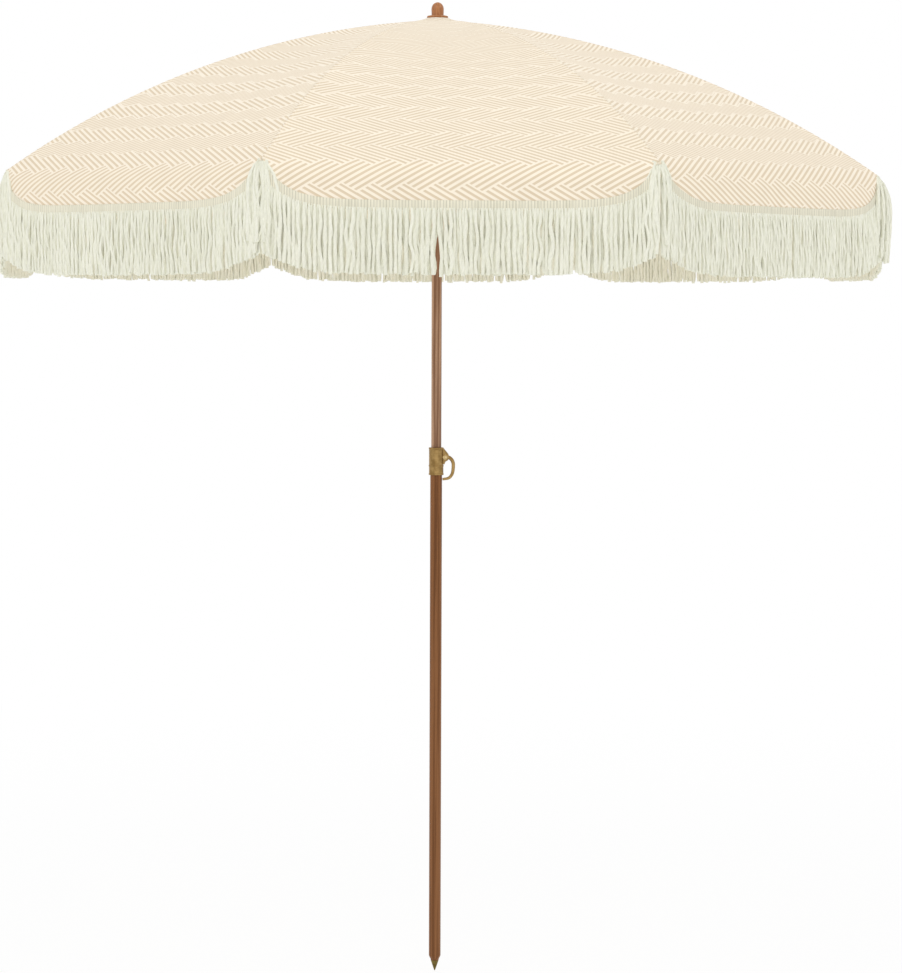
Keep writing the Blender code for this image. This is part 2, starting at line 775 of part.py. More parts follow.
def valance():
    """Scalloped cloth that hangs from a panel's rim."""
    top = RIM.y - SEAM_GAP
    ys = list(scallop_line())
    outline = [(RIM_X, ys[0], top), (RIM_X, ys[-1], top)]
    outline += [(RIM_X, y, RIM.y - scallop(y)) for y in reversed(ys)]
    return mesh_of(cut_plate(outline, (-1, 0, 0), CLOTH_THICK))


def fringe():
    """Header tape on the scalloped edge, with tufts of yarn that hang from it."""
    ys = list(scallop_line())
    outline = [(RIM_X, y, RIM.y - scallop(y) - SEAT_GAP) for y in ys]
    reach = RIM_HALF - SCALLOP_START
    pitch = 2 * reach / FRINGE_TUFTS
    inset = FRINGE_SLIT / 2
    for tuft in reversed(range(FRINGE_TUFTS)):
        low_y = -reach + tuft * pitch
        high_y = low_y + pitch
        middle = (low_y + high_y) / 2
        extra = FRINGE_CORNER_EXTRA * math.exp(-(RIM_HALF - abs(middle)) / FRINGE_CORNER_REACH)
        bottom = RIM.y - scallop(middle) - FRINGE_LENGTH - extra
        outline.append((RIM_X, high_y - inset, bottom))
        outline.append((RIM_X, low_y + inset, bottom))
        if tuft:
            outline.append((RIM_X, low_y, RIM.y - scallop(low_y) - FRINGE_HEADER))
    return mesh_of(cut_plate(outline, (-1, 0, 0), FRINGE_THICK))


def build():
    """Make every piece and put it in its place."""
    clear_scene()
    painted = make_finish("brown_painted_tube", (0.24, 0.115, 0.05), 0.35, 0.0)
    brass = make_finish("antique_brass", (0.36, 0.22, 0.07), 0.35, 1.0)
    olive = make_finish("olive_brass", (0.22, 0.17, 0.06), 0.45, 1.0)
    wood = make_finish("finial_wood", (0.42, 0.19, 0.07), 0.4, 0.0)
    steel = make_finish("plated_steel", (0.55, 0.53, 0.5), 0.3, 1.0)
    glass_rod = make_finish("rib_rod", (0.75, 0.72, 0.64), 0.45, 0.0)
    plastic = make_finish("cream_plastic", (0.72, 0.66, 0.54), 0.5, 0.0)
    canvas = make_finish("herringbone_canvas", (0.89, 0.8, 0.62), 0.9, 0.0)
    cotton = make_finish("fringe_cotton", (0.74, 0.73, 0.6), 0.95, 0.0)

    lever_axis = (LEVER_PIVOT_X, 0, LEVER_PIVOT_Z)
    catch_axis = (CATCH_PIN_X, 0, CATCH_PIN_Z)
    pole_axis = (0, 0, 0)
    crown_axis = (PIVOT_R, 0, CROWN_PIVOT_Z)
    bracket_axis = (BRACKET_PIVOT.x, 0, BRACKET_PIVOT.y)
    panel_axis = (PANEL_HINGE_X, 0, CROWN_PIVOT_Z)
    rim_axis = (RIM_X, 0, RIM.y)
    runner_axis = Matrix.Rotation(rib_azimuth(1), 4, "Z") @ Vector((PIVOT_R, 0, RUNNER_PIVOT.y))

    place("spike_tip", spike_tip(), olive, pole_axis)
    place("lower_pole", lower_pole(), painted, pole_axis)
    place("clamp_collar", clamp_collar(), brass, pole_axis)
    place("lever_pin", lever_pin(), brass, lever_axis)
    place("clamp_lever", clamp_lever(), brass, lever_axis)
    place("upper_pole", upper_pole(), painted, pole_axis)
    place("pole_plug", pole_plug(), plastic, pole_axis)
    place("crown_hub", crown_hub(), plastic, pole_axis)
    place("crown_ring", mesh_of(ring(PIVOT_R, WIRE_R, CROWN_PIVOT_Z)), steel, pole_axis)
    place("finial", finial(), wood, pole_axis)
    place("canopy_cap", canopy_cap(), canvas, pole_axis)
    place("spring_catch", spring_catch(), steel, catch_axis)
    place("catch_pin", catch_pin(), steel, catch_axis)
    place("runner", runner(), plastic, runner_axis)
    place("runner_ring", mesh_of(ring(PIVOT_R, WIRE_R, RUNNER_PIVOT.y)), steel, runner_axis)

    rib_mesh, stretcher_mesh = rib(), stretcher()
    panel_mesh, valance_mesh, fringe_mesh = panel(), valance(), fringe()
    for number in range(1, RIBS + 1):
        place(f"rib_{number}", rib_mesh, glass_rod, crown_axis, rib_azimuth(number))
        place(f"stretcher_{number}", stretcher_mesh, steel, bracket_axis, rib_azimuth(number))
        cloth = place(f"panel_{number}", panel_mesh, canvas, panel_axis, panel_azimuth(number))
        thicken = cloth.modifiers.new("cloth thickness", "SOLIDIFY")
        thicken.thickness = CLOTH_THICK
        thicken.offset = 1
        place(f"valance_{number}", valance_mesh, canvas, rim_axis, panel_azimuth(number))
        place(f"fringe_{number}", fringe_mesh, cotton, rim_axis, panel_azimuth(number))


build()
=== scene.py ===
"""Looks of a folding beach umbrella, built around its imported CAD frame.

Cloth, fringe and turned pieces are numpy surfaces. A panel's pieces are worked out in its radial frame,
with x outwards, y along the rim and z up, and are then turned to the panel's azimuth.
"""

import logging
import math
from dataclasses import dataclass, field
from enum import Enum
from typing import Any

import bmesh
import bpy
import numpy as np
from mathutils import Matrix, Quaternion, Vector


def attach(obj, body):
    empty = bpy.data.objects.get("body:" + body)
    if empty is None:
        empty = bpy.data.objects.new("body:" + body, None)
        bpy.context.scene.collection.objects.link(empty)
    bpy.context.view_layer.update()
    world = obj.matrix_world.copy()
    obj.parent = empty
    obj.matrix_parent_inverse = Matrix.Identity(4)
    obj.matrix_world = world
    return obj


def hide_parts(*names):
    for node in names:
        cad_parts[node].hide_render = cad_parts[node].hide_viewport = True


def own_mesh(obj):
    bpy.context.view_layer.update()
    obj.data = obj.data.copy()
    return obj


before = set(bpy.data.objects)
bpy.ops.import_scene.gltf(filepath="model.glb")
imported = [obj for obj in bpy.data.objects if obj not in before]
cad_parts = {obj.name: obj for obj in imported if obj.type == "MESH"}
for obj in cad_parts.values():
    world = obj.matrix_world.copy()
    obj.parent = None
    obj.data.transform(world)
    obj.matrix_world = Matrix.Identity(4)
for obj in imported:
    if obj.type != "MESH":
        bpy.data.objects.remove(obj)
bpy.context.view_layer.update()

LOG = logging.getLogger("beach_umbrella")
PHOTO_SIZE = (902, 973)
SENSOR = 36.0
UV_NAME = "surface"
MERGE = 1e-6
SMOOTH_ANGLE = math.radians(38)
QUARTER = math.pi / 2
TURN = 2 * math.pi
RIBS = 8
WHITE = (1, 1, 1, 1)

Pair = tuple[float, float]
Triple = tuple[float, float, float]
Colour = Triple
Outline = list[Pair]
Material = bpy.types.Material
Socket = bpy.types.NodeSocket


class Slot(Enum):
    """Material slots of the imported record."""

    TUBE = "brown_tube"
    BRASS = "antique_brass"
    SPIKE = "spike_metal"
    WOOD = "finial_wood"
    CANVAS = "canvas"
    COTTON = "fringe_cotton"


class Side(Enum):
    """The two faces of a printed cloth."""

    FACE = "face"
    REVERSE = "reverse"


# Meshes


@dataclass
class Patch:
    """Grid of points over two parameters.

    points has the axes (copies, rows, columns, xyz), or (rows, columns, xyz) for one copy. A face looks
    along the row direction crossed with the column direction. marks hold one number for each point.
    """

    points: np.ndarray
    wrap: bool = False
    uv: np.ndarray | None = None
    marks: dict[str, np.ndarray] = field(default_factory=dict)

    def __post_init__(self) -> None:
        """Give a single grid its axis of copies."""
        if self.points.ndim == 3:
            self.points = self.points[None]
            if self.uv is not None:
                self.uv = self.uv[None]

    def _corners(self, columns: int, wrap: bool) -> np.ndarray:
        """Indices of each face's four corners.

        Args:
            columns: Columns of the grid that the indices count in.
            wrap: Whether the last column joins the first.

        Returns:
            Array of (faces, 4) indices into the flattened grids.
        """
        copies, rows = self.points.shape[:2]
        spans = self.points.shape[2] - (0 if self.wrap else 1)
        start = np.arange(copies)[:, None, None] * rows * columns
        here = np.arange(rows - 1)[None, :, None] * columns
        left = np.arange(spans)[None, None, :]
        right = (left + 1) % columns if wrap else left + 1
        first, second = start + here, start + here + columns
        return np.stack([first + left, second + left, second + right, first + right], -1).reshape(-1, 4)

    def faces(self) -> np.ndarray:
        """Corner points of each face, as (faces, 4) indices."""
        return self._corners(self.points.shape[2], self.wrap)

    def loop_uv(self) -> np.ndarray:
        """Texture coordinates of each face corner.

        Returns:
            Array of (faces * 4, 2) values, which are 0 where the grid has none.
        """
        if self.uv is None:
            return np.zeros((self.faces().size, 2))
        return self.uv.reshape(-1, 2)[self._corners(self.uv.shape[2], False)].reshape(-1, 2)


def crowded(count: int) -> np.ndarray:
    """Places from -1 to 1 that crowd towards both ends: sin(pi t / 2) for even steps of t."""
    return np.sin(np.linspace(-1, 1, count) * QUARTER)


def circle(centre: Pair, radius: float, angle: np.ndarray) -> np.ndarray:
    """Points (n, 2) of a circle at the given angles."""
    return np.stack([centre[0] + radius * np.cos(angle), centre[1] + radius * np.sin(angle)], -1)


def capped(points: np.ndarray) -> np.ndarray:
    """Rings (rows, columns, 3) with one more row at each end, where they close at the end ring's middle."""
    ends = [np.broadcast_to(ring.mean(0), ring.shape)[None] for ring in (points[0], points[-1])]
    return np.concatenate([ends[0], points, ends[1]])


def lathe(profile: Outline, sides: int = 64) -> Patch:
    """Turned surface: (r, z) at angle b is (r cos b, r sin b, z).

    Args:
        profile: Outline from the top to the bottom, as (radius, height).
        sides: Columns round the axis.

    Returns:
        The grid.
    """
    radius, height = np.array(profile).T[..., None]
    angle = np.linspace(0, TURN, sides, endpoint=False)
    rings = np.broadcast_arrays(radius * np.cos(angle), radius * np.sin(angle), height)
    return Patch(np.stack(rings, -1), wrap=True)


def split_ring(section: Outline, half_gap: float, steps: int = 56) -> Patch:
    """Ring with a gap on its +x side: a closed (r, z) section carried along an arc, closed at both ends.

    Args:
        section: Corners of the section, in order round it.
        half_gap: Half the gap's angle.
        steps: Rings along the arc.

    Returns:
        The grid.
    """
    radius, height = np.array(section).T
    angle = np.linspace(half_gap, TURN - half_gap, steps)[:, None]
    rings = np.broadcast_arrays(radius * np.cos(angle), radius * np.sin(angle), height)
    return Patch(capped(np.stack(rings, -1)), wrap=True)


def round_section(half_x: float, half_y: float, corner: float, arc: int = 4) -> np.ndarray:
    """Outline of a rectangle with round corners: a quarter circle about each corner's centre.

    Args:
        half_x: Half the width.
        half_y: Half the height.
        corner: Radius of the corners.
        arc: Points on each corner.

    Returns:
        Points as (4 * arc, 2).
    """
    quarter = np.arange(4)[:, None] * QUARTER + np.linspace(0, QUARTER, arc)
    centre = np.array([(1, 1), (-1, 1), (-1, -1), (1, -1)]) * (half_x - corner, half_y - corner)
    return (centre[:, None] + corner * np.stack([np.cos(quarter), np.sin(quarter)], -1)).reshape(-1, 2)


def plate(outline: np.ndarray, low: float, high: float, edge: float, steps: int = 4) -> Patch:
    """Plate in the xz plane from y = low to y = high, whose edges are rounded by drawing the outline in.

    At angle b of the rounding the outline is drawn in by edge (1 - sin b), edge (1 - cos b) from the face.

    Args:
        outline: Points (n, 2) in order, as (x, z).
        low: First face's y.
        high: Second face's y.
        edge: Radius of the rounded edges.
        steps: Levels of each rounding.

    Returns:
        The grid, with a row for each level from one face to the other.
    """
    middle = outline.mean(0)
    reach = np.linalg.norm(outline - middle, axis=1, keepdims=True)
    turn = np.linspace(0, QUARTER, steps)
    inset = edge * (1 - np.sin(turn))
    rise = edge * (1 - np.cos(turn))
    insets = np.concatenate([inset, inset[::-1]])
    levels = np.concatenate([low + rise, high - rise[::-1]])
    rings = middle + (outline - middle) * (1 - insets[:, None, None] / reach)
    across = np.broadcast_to(levels[:, None], rings.shape[:2])
    return Patch(capped(np.stack([rings[..., 0], across, rings[..., 1]], -1)), wrap=True)


def turned_about_z(points: np.ndarray, azimuth: float) -> np.ndarray:
    """Points, whose last axis is xyz, turned about the pole's axis by an angle in radians."""
    cos, sin = math.cos(azimuth), math.sin(azimuth)
    return points @ np.array([[cos, sin, 0], [-sin, cos, 0], [0, 0, 1]])


def make_mesh(name: str, patches: list[Patch], closed: bool) -> bpy.types.Mesh:
    """Mesh of several grids, with merged poles.

    Args:
        name: Name of the mesh.
        patches: Grids to join.
        closed: Whether every grid is a closed shell, so that its faces can be turned outwards.

    Returns:
        The mesh, shaded smooth, with sharp edges and open edges kept.
    """
    points = [patch.points.reshape(-1, 3) for patch in patches]
    starts = np.cumsum([0] + [len(part) for part in points[:-1]])
    faces = np.concatenate([patch.faces() + start for patch, start in zip(patches, starts)])
    mesh = bpy.data.meshes.new(name)
    mesh.from_pydata(np.concatenate(points), [], faces)
    uv = np.concatenate([patch.loop_uv() for patch in patches])
    mesh.uv_layers.new(name=UV_NAME).data.foreach_set("uv", uv.astype(np.float32).ravel())
    for mark in patches[0].marks:
        values = np.concatenate([patch.marks[mark].reshape(-1) for patch in patches])
        mesh.attributes.new(mark, "FLOAT", "POINT").data.foreach_set("value", values.astype(np.float32))
    if closed:
        shape = bmesh.new()
        shape.from_mesh(mesh)
        bmesh.ops.remove_doubles(shape, verts=shape.verts, dist=MERGE)
        bmesh.ops.recalc_face_normals(shape, faces=shape.faces)
        shape.to_mesh(mesh)
        shape.free()
    mesh.shade_smooth()
    mesh.set_sharp_from_angle(angle=SMOOTH_ANGLE)
    sharp = np.zeros(len(mesh.edges), bool)
    loops = np.zeros(len(mesh.loops), np.int32)
    mesh.edges.foreach_get("use_edge_sharp", sharp)
    mesh.loops.foreach_get("edge_index", loops)
    mesh.edges.foreach_set("use_edge_sharp", sharp | (np.bincount(loops, minlength=len(sharp)) == 1))
    return mesh


def add_piece(
    name: str,
    patches: list[Patch],
    finish: Material,
    body: str,
    stands_for: list[str],
    closed: bool = True,
) -> bpy.types.Object:
    """New piece of the umbrella that rides on a body.

    Args:
        name: Name of the piece.
        patches: Its grids, in the frame of the CAD.
        finish: Its material.
        body: CAD body that carries it.
        stands_for: CAD nodes that it replaces.
        closed: Whether its grids are closed shells.

    Returns:
        The piece.
    """
    mesh = make_mesh(name, patches, closed)
    piece = bpy.data.objects.new(name, mesh)
    bpy.context.scene.collection.objects.link(piece)
    mesh.materials.append(finish)
    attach(piece, body)
    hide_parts(*stands_for)
    LOG.info("piece %s rides on %s, %d faces", name, body, len(mesh.polygons))
    return piece


def dress(node: str, finish: Material) -> None:
    """Give a CAD node that stays in view its finish.

    Args:
        node: Name of the node.
        finish: Its material.
    """
    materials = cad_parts[node].data.materials
    materials.clear()
    materials.append(finish)
    LOG.info("node %s dressed in %s", node, finish.name)


# Finishes


@dataclass(frozen=True)
class Grain:
    """Noise over the object's coordinates: waves in a metre along x, y and z, and octaves."""

    waves: Triple
    octaves: float


class Graph:
    """Node tree of a material or of the world, with short calls for the nodes that are used here."""

    def __init__(self, owner: Material | bpy.types.World) -> None:
        """Start the tree.

        Args:
            owner: Material or world that the tree belongs to.
        """
        owner.use_nodes = True
        self.owner = owner
        self.tree = owner.node_tree

    @classmethod
    def of_material(cls, name: str) -> "Graph":
        """Tree of a new material."""
        return cls(bpy.data.materials.new(name))

    @property
    def shader(self) -> bpy.types.Node:
        """Principled shader of a material's tree."""
        return self.tree.nodes["Principled BSDF"]

    def put(self, socket: Socket, value: Any) -> None:
        """Link a socket to an input, or set the input's value.

        Args:
            socket: The input.
            value: Output to link to it, or its value.
        """
        if isinstance(value, Socket):
            self.tree.links.new(value, socket)
        else:
            socket.default_value = value

    def node(self, kind: str, inputs: dict[Any, Any], **settings: Any) -> bpy.types.Node:
        """New node.

        Args:
            kind: Blender's name of the node's type.
            inputs: Values or sockets for its inputs, by name or number.
            **settings: Properties of the node.

        Returns:
            The node.
        """
        made = self.tree.nodes.new(kind)
        for key, value in settings.items():
            setattr(made, key, value)
        for key, value in inputs.items():
            self.put(made.inputs[key], value)
        return made

    def math(self, operation: str, *values: Any) -> Socket:
        """Result of a Math node on one to three values."""
        return self.node("ShaderNodeMath", dict(enumerate(values)), operation=operation).outputs[0]

    def weighted(self, value: Any, weight: Any, rest: Any) -> Socket:
        """rest + weight * value."""
        return self.math("MULTIPLY_ADD", value, weight, rest)

    def strayed(self, noise: Socket, middle: float, spread: float) -> Socket:
        """middle + spread * (noise - 1/2)."""
        return self.weighted(noise, spread, middle - spread / 2)

    def between(self, value: Any, start: float, end: float, low: Any = 0.0, high: Any = 1.0) -> Socket:
        """Smooth step of a value, from low at the start to high at the end."""
        inputs = {"Value": value, "From Min": start, "From Max": end, "To Min": low, "To Max": high}
        return self.node("ShaderNodeMapRange", inputs, interpolation_type="SMOOTHSTEP").outputs[0]

    def mix(self, share: Any, low: Any, high: Any) -> Socket:
        """Colour between two colours.

        Args:
            share: 0 for the first colour and 1 for the second.
            low: First colour, or its socket.
            high: Second colour, or its socket.

        Returns:
            The colour.
        """
        colours = [(*value, 1) if isinstance(value, tuple) else value for value in (low, high)]
        inputs = {0: share, 6: colours[0], 7: colours[1]}
        return self.node("ShaderNodeMix", inputs, data_type="RGBA").outputs[2]

    def shaded(self, colour: Socket, shade: Socket) -> Socket:
        """Colour times a shade."""
        return self.node("ShaderNodeVectorMath", {0: colour, 3: shade}, operation="SCALE").outputs[0]

    def grain(self, grain: Grain) -> Socket:
        """Noise between 0 and 1.

        Args:
            grain: Its waves and octaves.

        Returns:
            The noise.
        """
        place = self.node("ShaderNodeTexCoord", {}).outputs["Object"]
        scaled = self.node("ShaderNodeMapping", {"Vector": place, "Scale": grain.waves}).outputs[0]
        inputs = {"Vector": scaled, "Scale": 1.0, "Detail": grain.octaves}
        return self.node("ShaderNodeTexNoise", inputs).outputs[0]

    def surface(self) -> tuple[Socket, Socket]:
        """The two texture coordinates of the piece's own map.

        Returns:
            The first and the second coordinate.
        """
        place = self.node("ShaderNodeUVMap", {}, uv_map=UV_NAME).outputs[0]
        split = self.node("ShaderNodeSeparateXYZ", {0: place})
        return split.outputs[0], split.outputs[1]

    def mark(self, name: str) -> Socket:
        """Number stored on the piece's points."""
        return self.node("ShaderNodeAttribute", {}, attribute_name=name).outputs["Fac"]

    def bump(self, height: Socket, strength: float, distance: float) -> None:
        """Shape the shader's normal by a height, of which 1 stands for a distance in metres."""
        inputs = {"Height": height, "Strength": strength, "Distance": distance}
        self.put(self.shader.inputs["Normal"], self.node("ShaderNodeBump", inputs).outputs[0])

    def finish(self, **values: Any) -> Material:
        """Set the shader's inputs.

        Args:
            **values: Values or sockets by the inputs' names, with underscores for spaces.

        Returns:
            The material.
        """
        for key, value in values.items():
            fixed = (*value, 1) if isinstance(value, tuple) else value
            self.put(self.shader.inputs[key.replace("_", " ").title().replace("Ior", "IOR")], fixed)
        return self.owner

    def choose(self, share: Socket, first: bpy.types.Node, second: bpy.types.Node, output: str) -> None:
        """Send a mix of two shaders, by the share of the second, to the named output node."""
        choice = self.node("ShaderNodeMixShader", {0: share, 1: first.outputs[0], 2: second.outputs[0]})
        self.put(self.tree.nodes[output].inputs[0], choice.outputs[0])


@dataclass(frozen=True)
class TubeCoat:
    """Satin brown coating with streaks like wood grain along the tube."""

    name: str
    dark: Colour
    light: Colour
    roughness: float
    gloss: float
    streaks: Grain = Grain((150.0, 150.0, 2.2), 5.0)
    pores: Grain = Grain((900.0, 900.0, 18.0), 2.0)
    peel: Grain = Grain((420.0, 420.0, 420.0), 1.0)
    contrast: Pair = (0.38, 0.62)
    pore_share: float = 0.3
    streak_height: float = 0.6
    rough_spread: float = 0.12
    relief: Pair = (0.12, 0.0004)

    def material(self) -> Material:
        """The coating: long streaks of two browns, with fine pores and an orange-peel bump.

        Returns:
            The material.
        """
        graph = Graph.of_material(self.name)
        streak, pores, peel = map(graph.grain, (self.streaks, self.pores, self.peel))
        share = graph.weighted(pores, self.pore_share, graph.between(streak, *self.contrast))
        graph.bump(graph.weighted(streak, self.streak_height, peel), *self.relief)
        rough = graph.strayed(streak, self.roughness, self.rough_spread)
        colour = graph.mix(share, self.dark, self.light)
        return graph.finish(base_color=colour, roughness=rough, specular_ior_level=self.gloss)


@dataclass(frozen=True)
class CastMetal:
    """Aged metal, brushed and slightly cloudy."""

    name: str
    dark: Colour
    light: Colour
    roughness: float = 0.36
    clouds: Grain = Grain((90.0, 90.0, 90.0), 4.0)
    brushing: Grain = Grain((160.0, 160.0, 2600.0), 2.0)
    pits: Grain = Grain((700.0, 700.0, 700.0), 2.0)
    contrast: Pair = (0.3, 0.7)
    cloud_share: float = 0.8
    brush_share: float = 0.35
    brush_height: float = 0.5
    rough_spread: float = 0.2
    relief: Pair = (0.18, 0.0003)

    def material(self) -> Material:
        """The metal: clouds of two tones, fine brushing round the pole and small pits.

        Returns:
            The material.
        """
        graph = Graph.of_material(self.name)
        cloud, brush, pits = map(graph.grain, (self.clouds, self.brushing, self.pits))
        clouded = graph.math("MULTIPLY", graph.between(cloud, *self.contrast), self.cloud_share)
        share = graph.weighted(brush, self.brush_share, clouded)
        graph.bump(graph.weighted(brush, self.brush_height, pits), *self.relief)
        rough = graph.strayed(cloud, self.roughness, self.rough_spread)
        return graph.finish(base_color=graph.mix(share, self.dark, self.light), roughness=rough, metallic=1.0)


@dataclass(frozen=True)
class TurnedWood:
    """Varnished wood with grain along its axis."""

    name: str = "turned_wood"
    dark: Colour = (0.24, 0.072, 0.016)
    light: Colour = (0.5, 0.21, 0.065)
    roughness: float = 0.42
    growth: Grain = Grain((114.0, 114.0, 16.8), 2.0)
    pores: Grain = Grain((1400.0, 1400.0, 90.0), 2.0)
    rings: float = 5.0
    ring_share: float = 0.55
    pore_share: float = 0.5
    relief: Pair = (0.1, 0.0003)

    def material(self) -> Material:
        """The wood: growth rings cut by the turned shape, with fine pores.

        Returns:
            The material.
        """
        graph = Graph.of_material(self.name)
        growth, pores = map(graph.grain, (self.growth, self.pores))
        rings = graph.math("FRACT", graph.math("MULTIPLY", growth, self.rings))
        share = graph.weighted(pores, self.pore_share, graph.math("MULTIPLY", rings, self.ring_share))
        graph.bump(graph.math("ADD", pores, rings), *self.relief)
        return graph.finish(base_color=graph.mix(share, self.dark, self.light), roughness=self.roughness)


@dataclass(frozen=True)
class Moulded:
    """Moulded or drawn material with a faint mottle."""

    name: str
    dark: Colour
    light: Colour
    roughness: float
    metal: float = 0.0
    mottle: Grain = Grain((260.0, 260.0, 260.0), 4.0)
    skin: Grain = Grain((1500.0, 1500.0, 1500.0), 1.0)
    contrast: Pair = (0.3, 0.7)
    mottle_height: float = 0.7
    rough_spread: float = 0.16
    relief: Pair = (0.1, 0.0002)

    def material(self) -> Material:
        """The material: two close tones and a fine skin texture.

        Returns:
            The material.
        """
        graph = Graph.of_material(self.name)
        mottle, skin = map(graph.grain, (self.mottle, self.skin))
        graph.bump(graph.weighted(mottle, self.mottle_height, skin), *self.relief)
        rough = graph.strayed(mottle, self.roughness, self.rough_spread)
        colour = graph.mix(graph.between(mottle, *self.contrast), self.dark, self.light)
        return graph.finish(base_color=colour, roughness=rough, metallic=self.metal)


@dataclass(frozen=True)
class HerringboneCanvas:
    """Woven cream cloth with a herringbone of golden lines in bands along the rim.

    Planks of a few lines lean to one side in a band and to the other side in the next. A plank's end meets
    its neighbours' long sides, so the bands meet in zigzags with the lines' own slope. With zig(u) as a
    triangle wave of slope tan(slant), even zigzags lie at v = 2 m band + zig(u) and odd ones at
    v = (2 m + 1) band + zig(u - band / tan(slant)). In a band the lines satisfy
    |fract((v cos(slant) - u sin(slant)) / pitch + 3/4) - 1/2| < duty / 2, with u's sign changed in odd bands.
    """

    name: str
    side: Side
    cream: Colour = (0.955, 0.862, 0.718)
    gold: Colour = (0.735, 0.607, 0.43)
    sewing: Colour = (0.86, 0.76, 0.58)
    band: float = 0.056
    pitch: float = 0.01055
    lines: int = 3
    slant: float = math.radians(30.3)
    duty: float = 0.47
    blur: float = 0.12
    end_gap: float = 0.0022
    show_through: float = 0.45
    thread: float = 0.0011
    stitch_from_edge: float = 0.0055
    stitch_length: float = 0.0042
    stitch_sides: Pair = (0.0009, 0.0004)
    stitch_ends: Pair = (0.25, 0.35)
    slubs: Grain = Grain((30.0, 30.0, 30.0), 4.0)
    threads: Grain = Grain((650.0, 650.0, 650.0), 2.0)
    ink_least: float = 0.85
    ink_spread: float = 0.3
    shade_least: float = 0.955
    painted_weave_shade: float = 0.025
    slub_shade: float = 0.07
    # Width and depth of the painted shade along seams and edges.
    shaded_seam_width: float = 0.004
    painted_seam_shade: float = 0.94
    weave_height: float = 0.35
    stitch_height: float = 1.6
    slub_height: float = 2.0
    relief: Pair = (0.3, 0.0005)
    roughness: float = 0.92
    sheen: float = 0.12
    sheen_roughness: float = 0.5

    def _zigzag(self, graph: Graph, across: Socket, up: Socket, shift: float) -> Socket:
        """Height over a zigzag, counted in double bands.

        Args:
            graph: Node tree to add to.
            across: Place along the rim.
            up: Place up the panel.
            shift: Place along the rim of one of the zigzag's lowest points.

        Returns:
            The height, which is whole on each zigzag of the set.
        """
        half = self.lines * self.pitch / math.sin(self.slant) / 2
        wave = graph.math("PINGPONG", graph.math("SUBTRACT", across, shift), half)
        rise = graph.weighted(wave, -math.tan(self.slant), half / 2 * math.tan(self.slant))
        return graph.math("DIVIDE", graph.math("ADD", up, rise), 2 * self.band)

    def _lines(self, graph: Graph, across: Socket, up: Socket) -> Socket:
        """Share of the golden line at a place of the cloth.

        Args:
            graph: Node tree to add to.
            across: Place along the rim.
            up: Place up the panel.

        Returns:
            1 on a line and 0 between lines.
        """
        even = self._zigzag(graph, across, up, 0.0)
        odd = graph.math("ADD", self._zigzag(graph, across, up, self.band / math.tan(self.slant)), 0.5)
        floors = graph.math("ADD", graph.math("FLOOR", even), graph.math("FLOOR", odd))
        parity = graph.math("FLOORED_MODULO", floors, 2.0)
        lean = graph.weighted(parity, -2.0, 1.0)
        run = graph.math("MULTIPLY", across, -math.sin(self.slant) / self.pitch)
        rise = graph.weighted(up, math.cos(self.slant) / self.pitch, 0.75)
        rise = graph.weighted(parity, -2 * self.band * math.cos(self.slant) / self.pitch, rise)
        phase = graph.math("FRACT", graph.weighted(run, lean, rise))
        distance = graph.math("ABSOLUTE", graph.math("SUBTRACT", phase, 0.5))
        line = graph.between(distance, (self.duty + self.blur) / 2, (self.duty - self.blur) / 2)
        near = [graph.math("PINGPONG", height, 0.5) for height in (even, odd)]
        gap = self.end_gap / (2 * self.band * math.cos(self.slant))
        return graph.math("MULTIPLY", line, graph.between(graph.math("MINIMUM", *near), 0.5 * gap, gap))

    def _weave(self, graph: Graph, *places: Socket) -> Socket:
        """Height of the plain weave: the product of a sine wave along each axis, a thread to half a wave."""
        turns = [graph.math("MULTIPLY", place, math.pi / self.thread) for place in places]
        return graph.math("MULTIPLY", *[graph.math("SINE", turn) for turn in turns])

    def _stitches(self, graph: Graph, up: Socket) -> Socket:
        """Share of the sewing thread, in dashes at a fixed distance from a panel's seam.

        Args:
            graph: Node tree to add to.
            up: Place up the panel.

        Returns:
            1 on a stitch and 0 elsewhere.
        """
        gap = graph.math("ABSOLUTE", graph.math("SUBTRACT", graph.mark("seam"), self.stitch_from_edge))
        dash = graph.math("FRACT", graph.math("DIVIDE", up, self.stitch_length))
        line, ends = graph.between(gap, *self.stitch_sides), graph.between(dash, *self.stitch_ends)
        return graph.math("MULTIPLY", line, ends)

    def material(self) -> Material:
        """The cloth's front, or its reverse with the lines showing through faintly.

        Returns:
            The material.
        """
        graph = Graph.of_material(self.name)
        across, up = graph.surface()
        lines = self._lines(graph, across, up)
        if self.side is Side.REVERSE:
            lines = graph.math("MULTIPLY", lines, self.show_through)
        weave, stitches = self._weave(graph, across, up), self._stitches(graph, up)
        slub, threads = map(graph.grain, (self.slubs, self.threads))
        ink = graph.math("MULTIPLY", lines, graph.weighted(threads, self.ink_spread, self.ink_least))
        # Painted shade: the colour is a little darker where the weave lies low; the slubs vary the tone at
        # random.
        shade = graph.weighted(weave, self.painted_weave_shade, self.shade_least)
        shade = graph.weighted(slub, self.slub_shade, shade)
        # Painted shade: the cloth darkens within a few millimetres of its seams and edges.
        seam = graph.between(graph.mark("seam"), 0.0, self.shaded_seam_width)
        seam = graph.weighted(seam, 1 - self.painted_seam_shade, self.painted_seam_shade)
        cloth = graph.shaded(graph.mix(ink, self.cream, self.gold), graph.math("MULTIPLY", shade, seam))
        height = graph.math("MULTIPLY", stitches, self.stitch_height)
        height = graph.weighted(weave, self.weave_height, height)
        graph.bump(graph.weighted(slub, self.slub_height, height), *self.relief)
        return graph.finish(base_color=graph.mix(stitches, cloth, self.sewing), roughness=self.roughness,
                            sheen_weight=self.sheen, sheen_roughness=self.sheen_roughness)


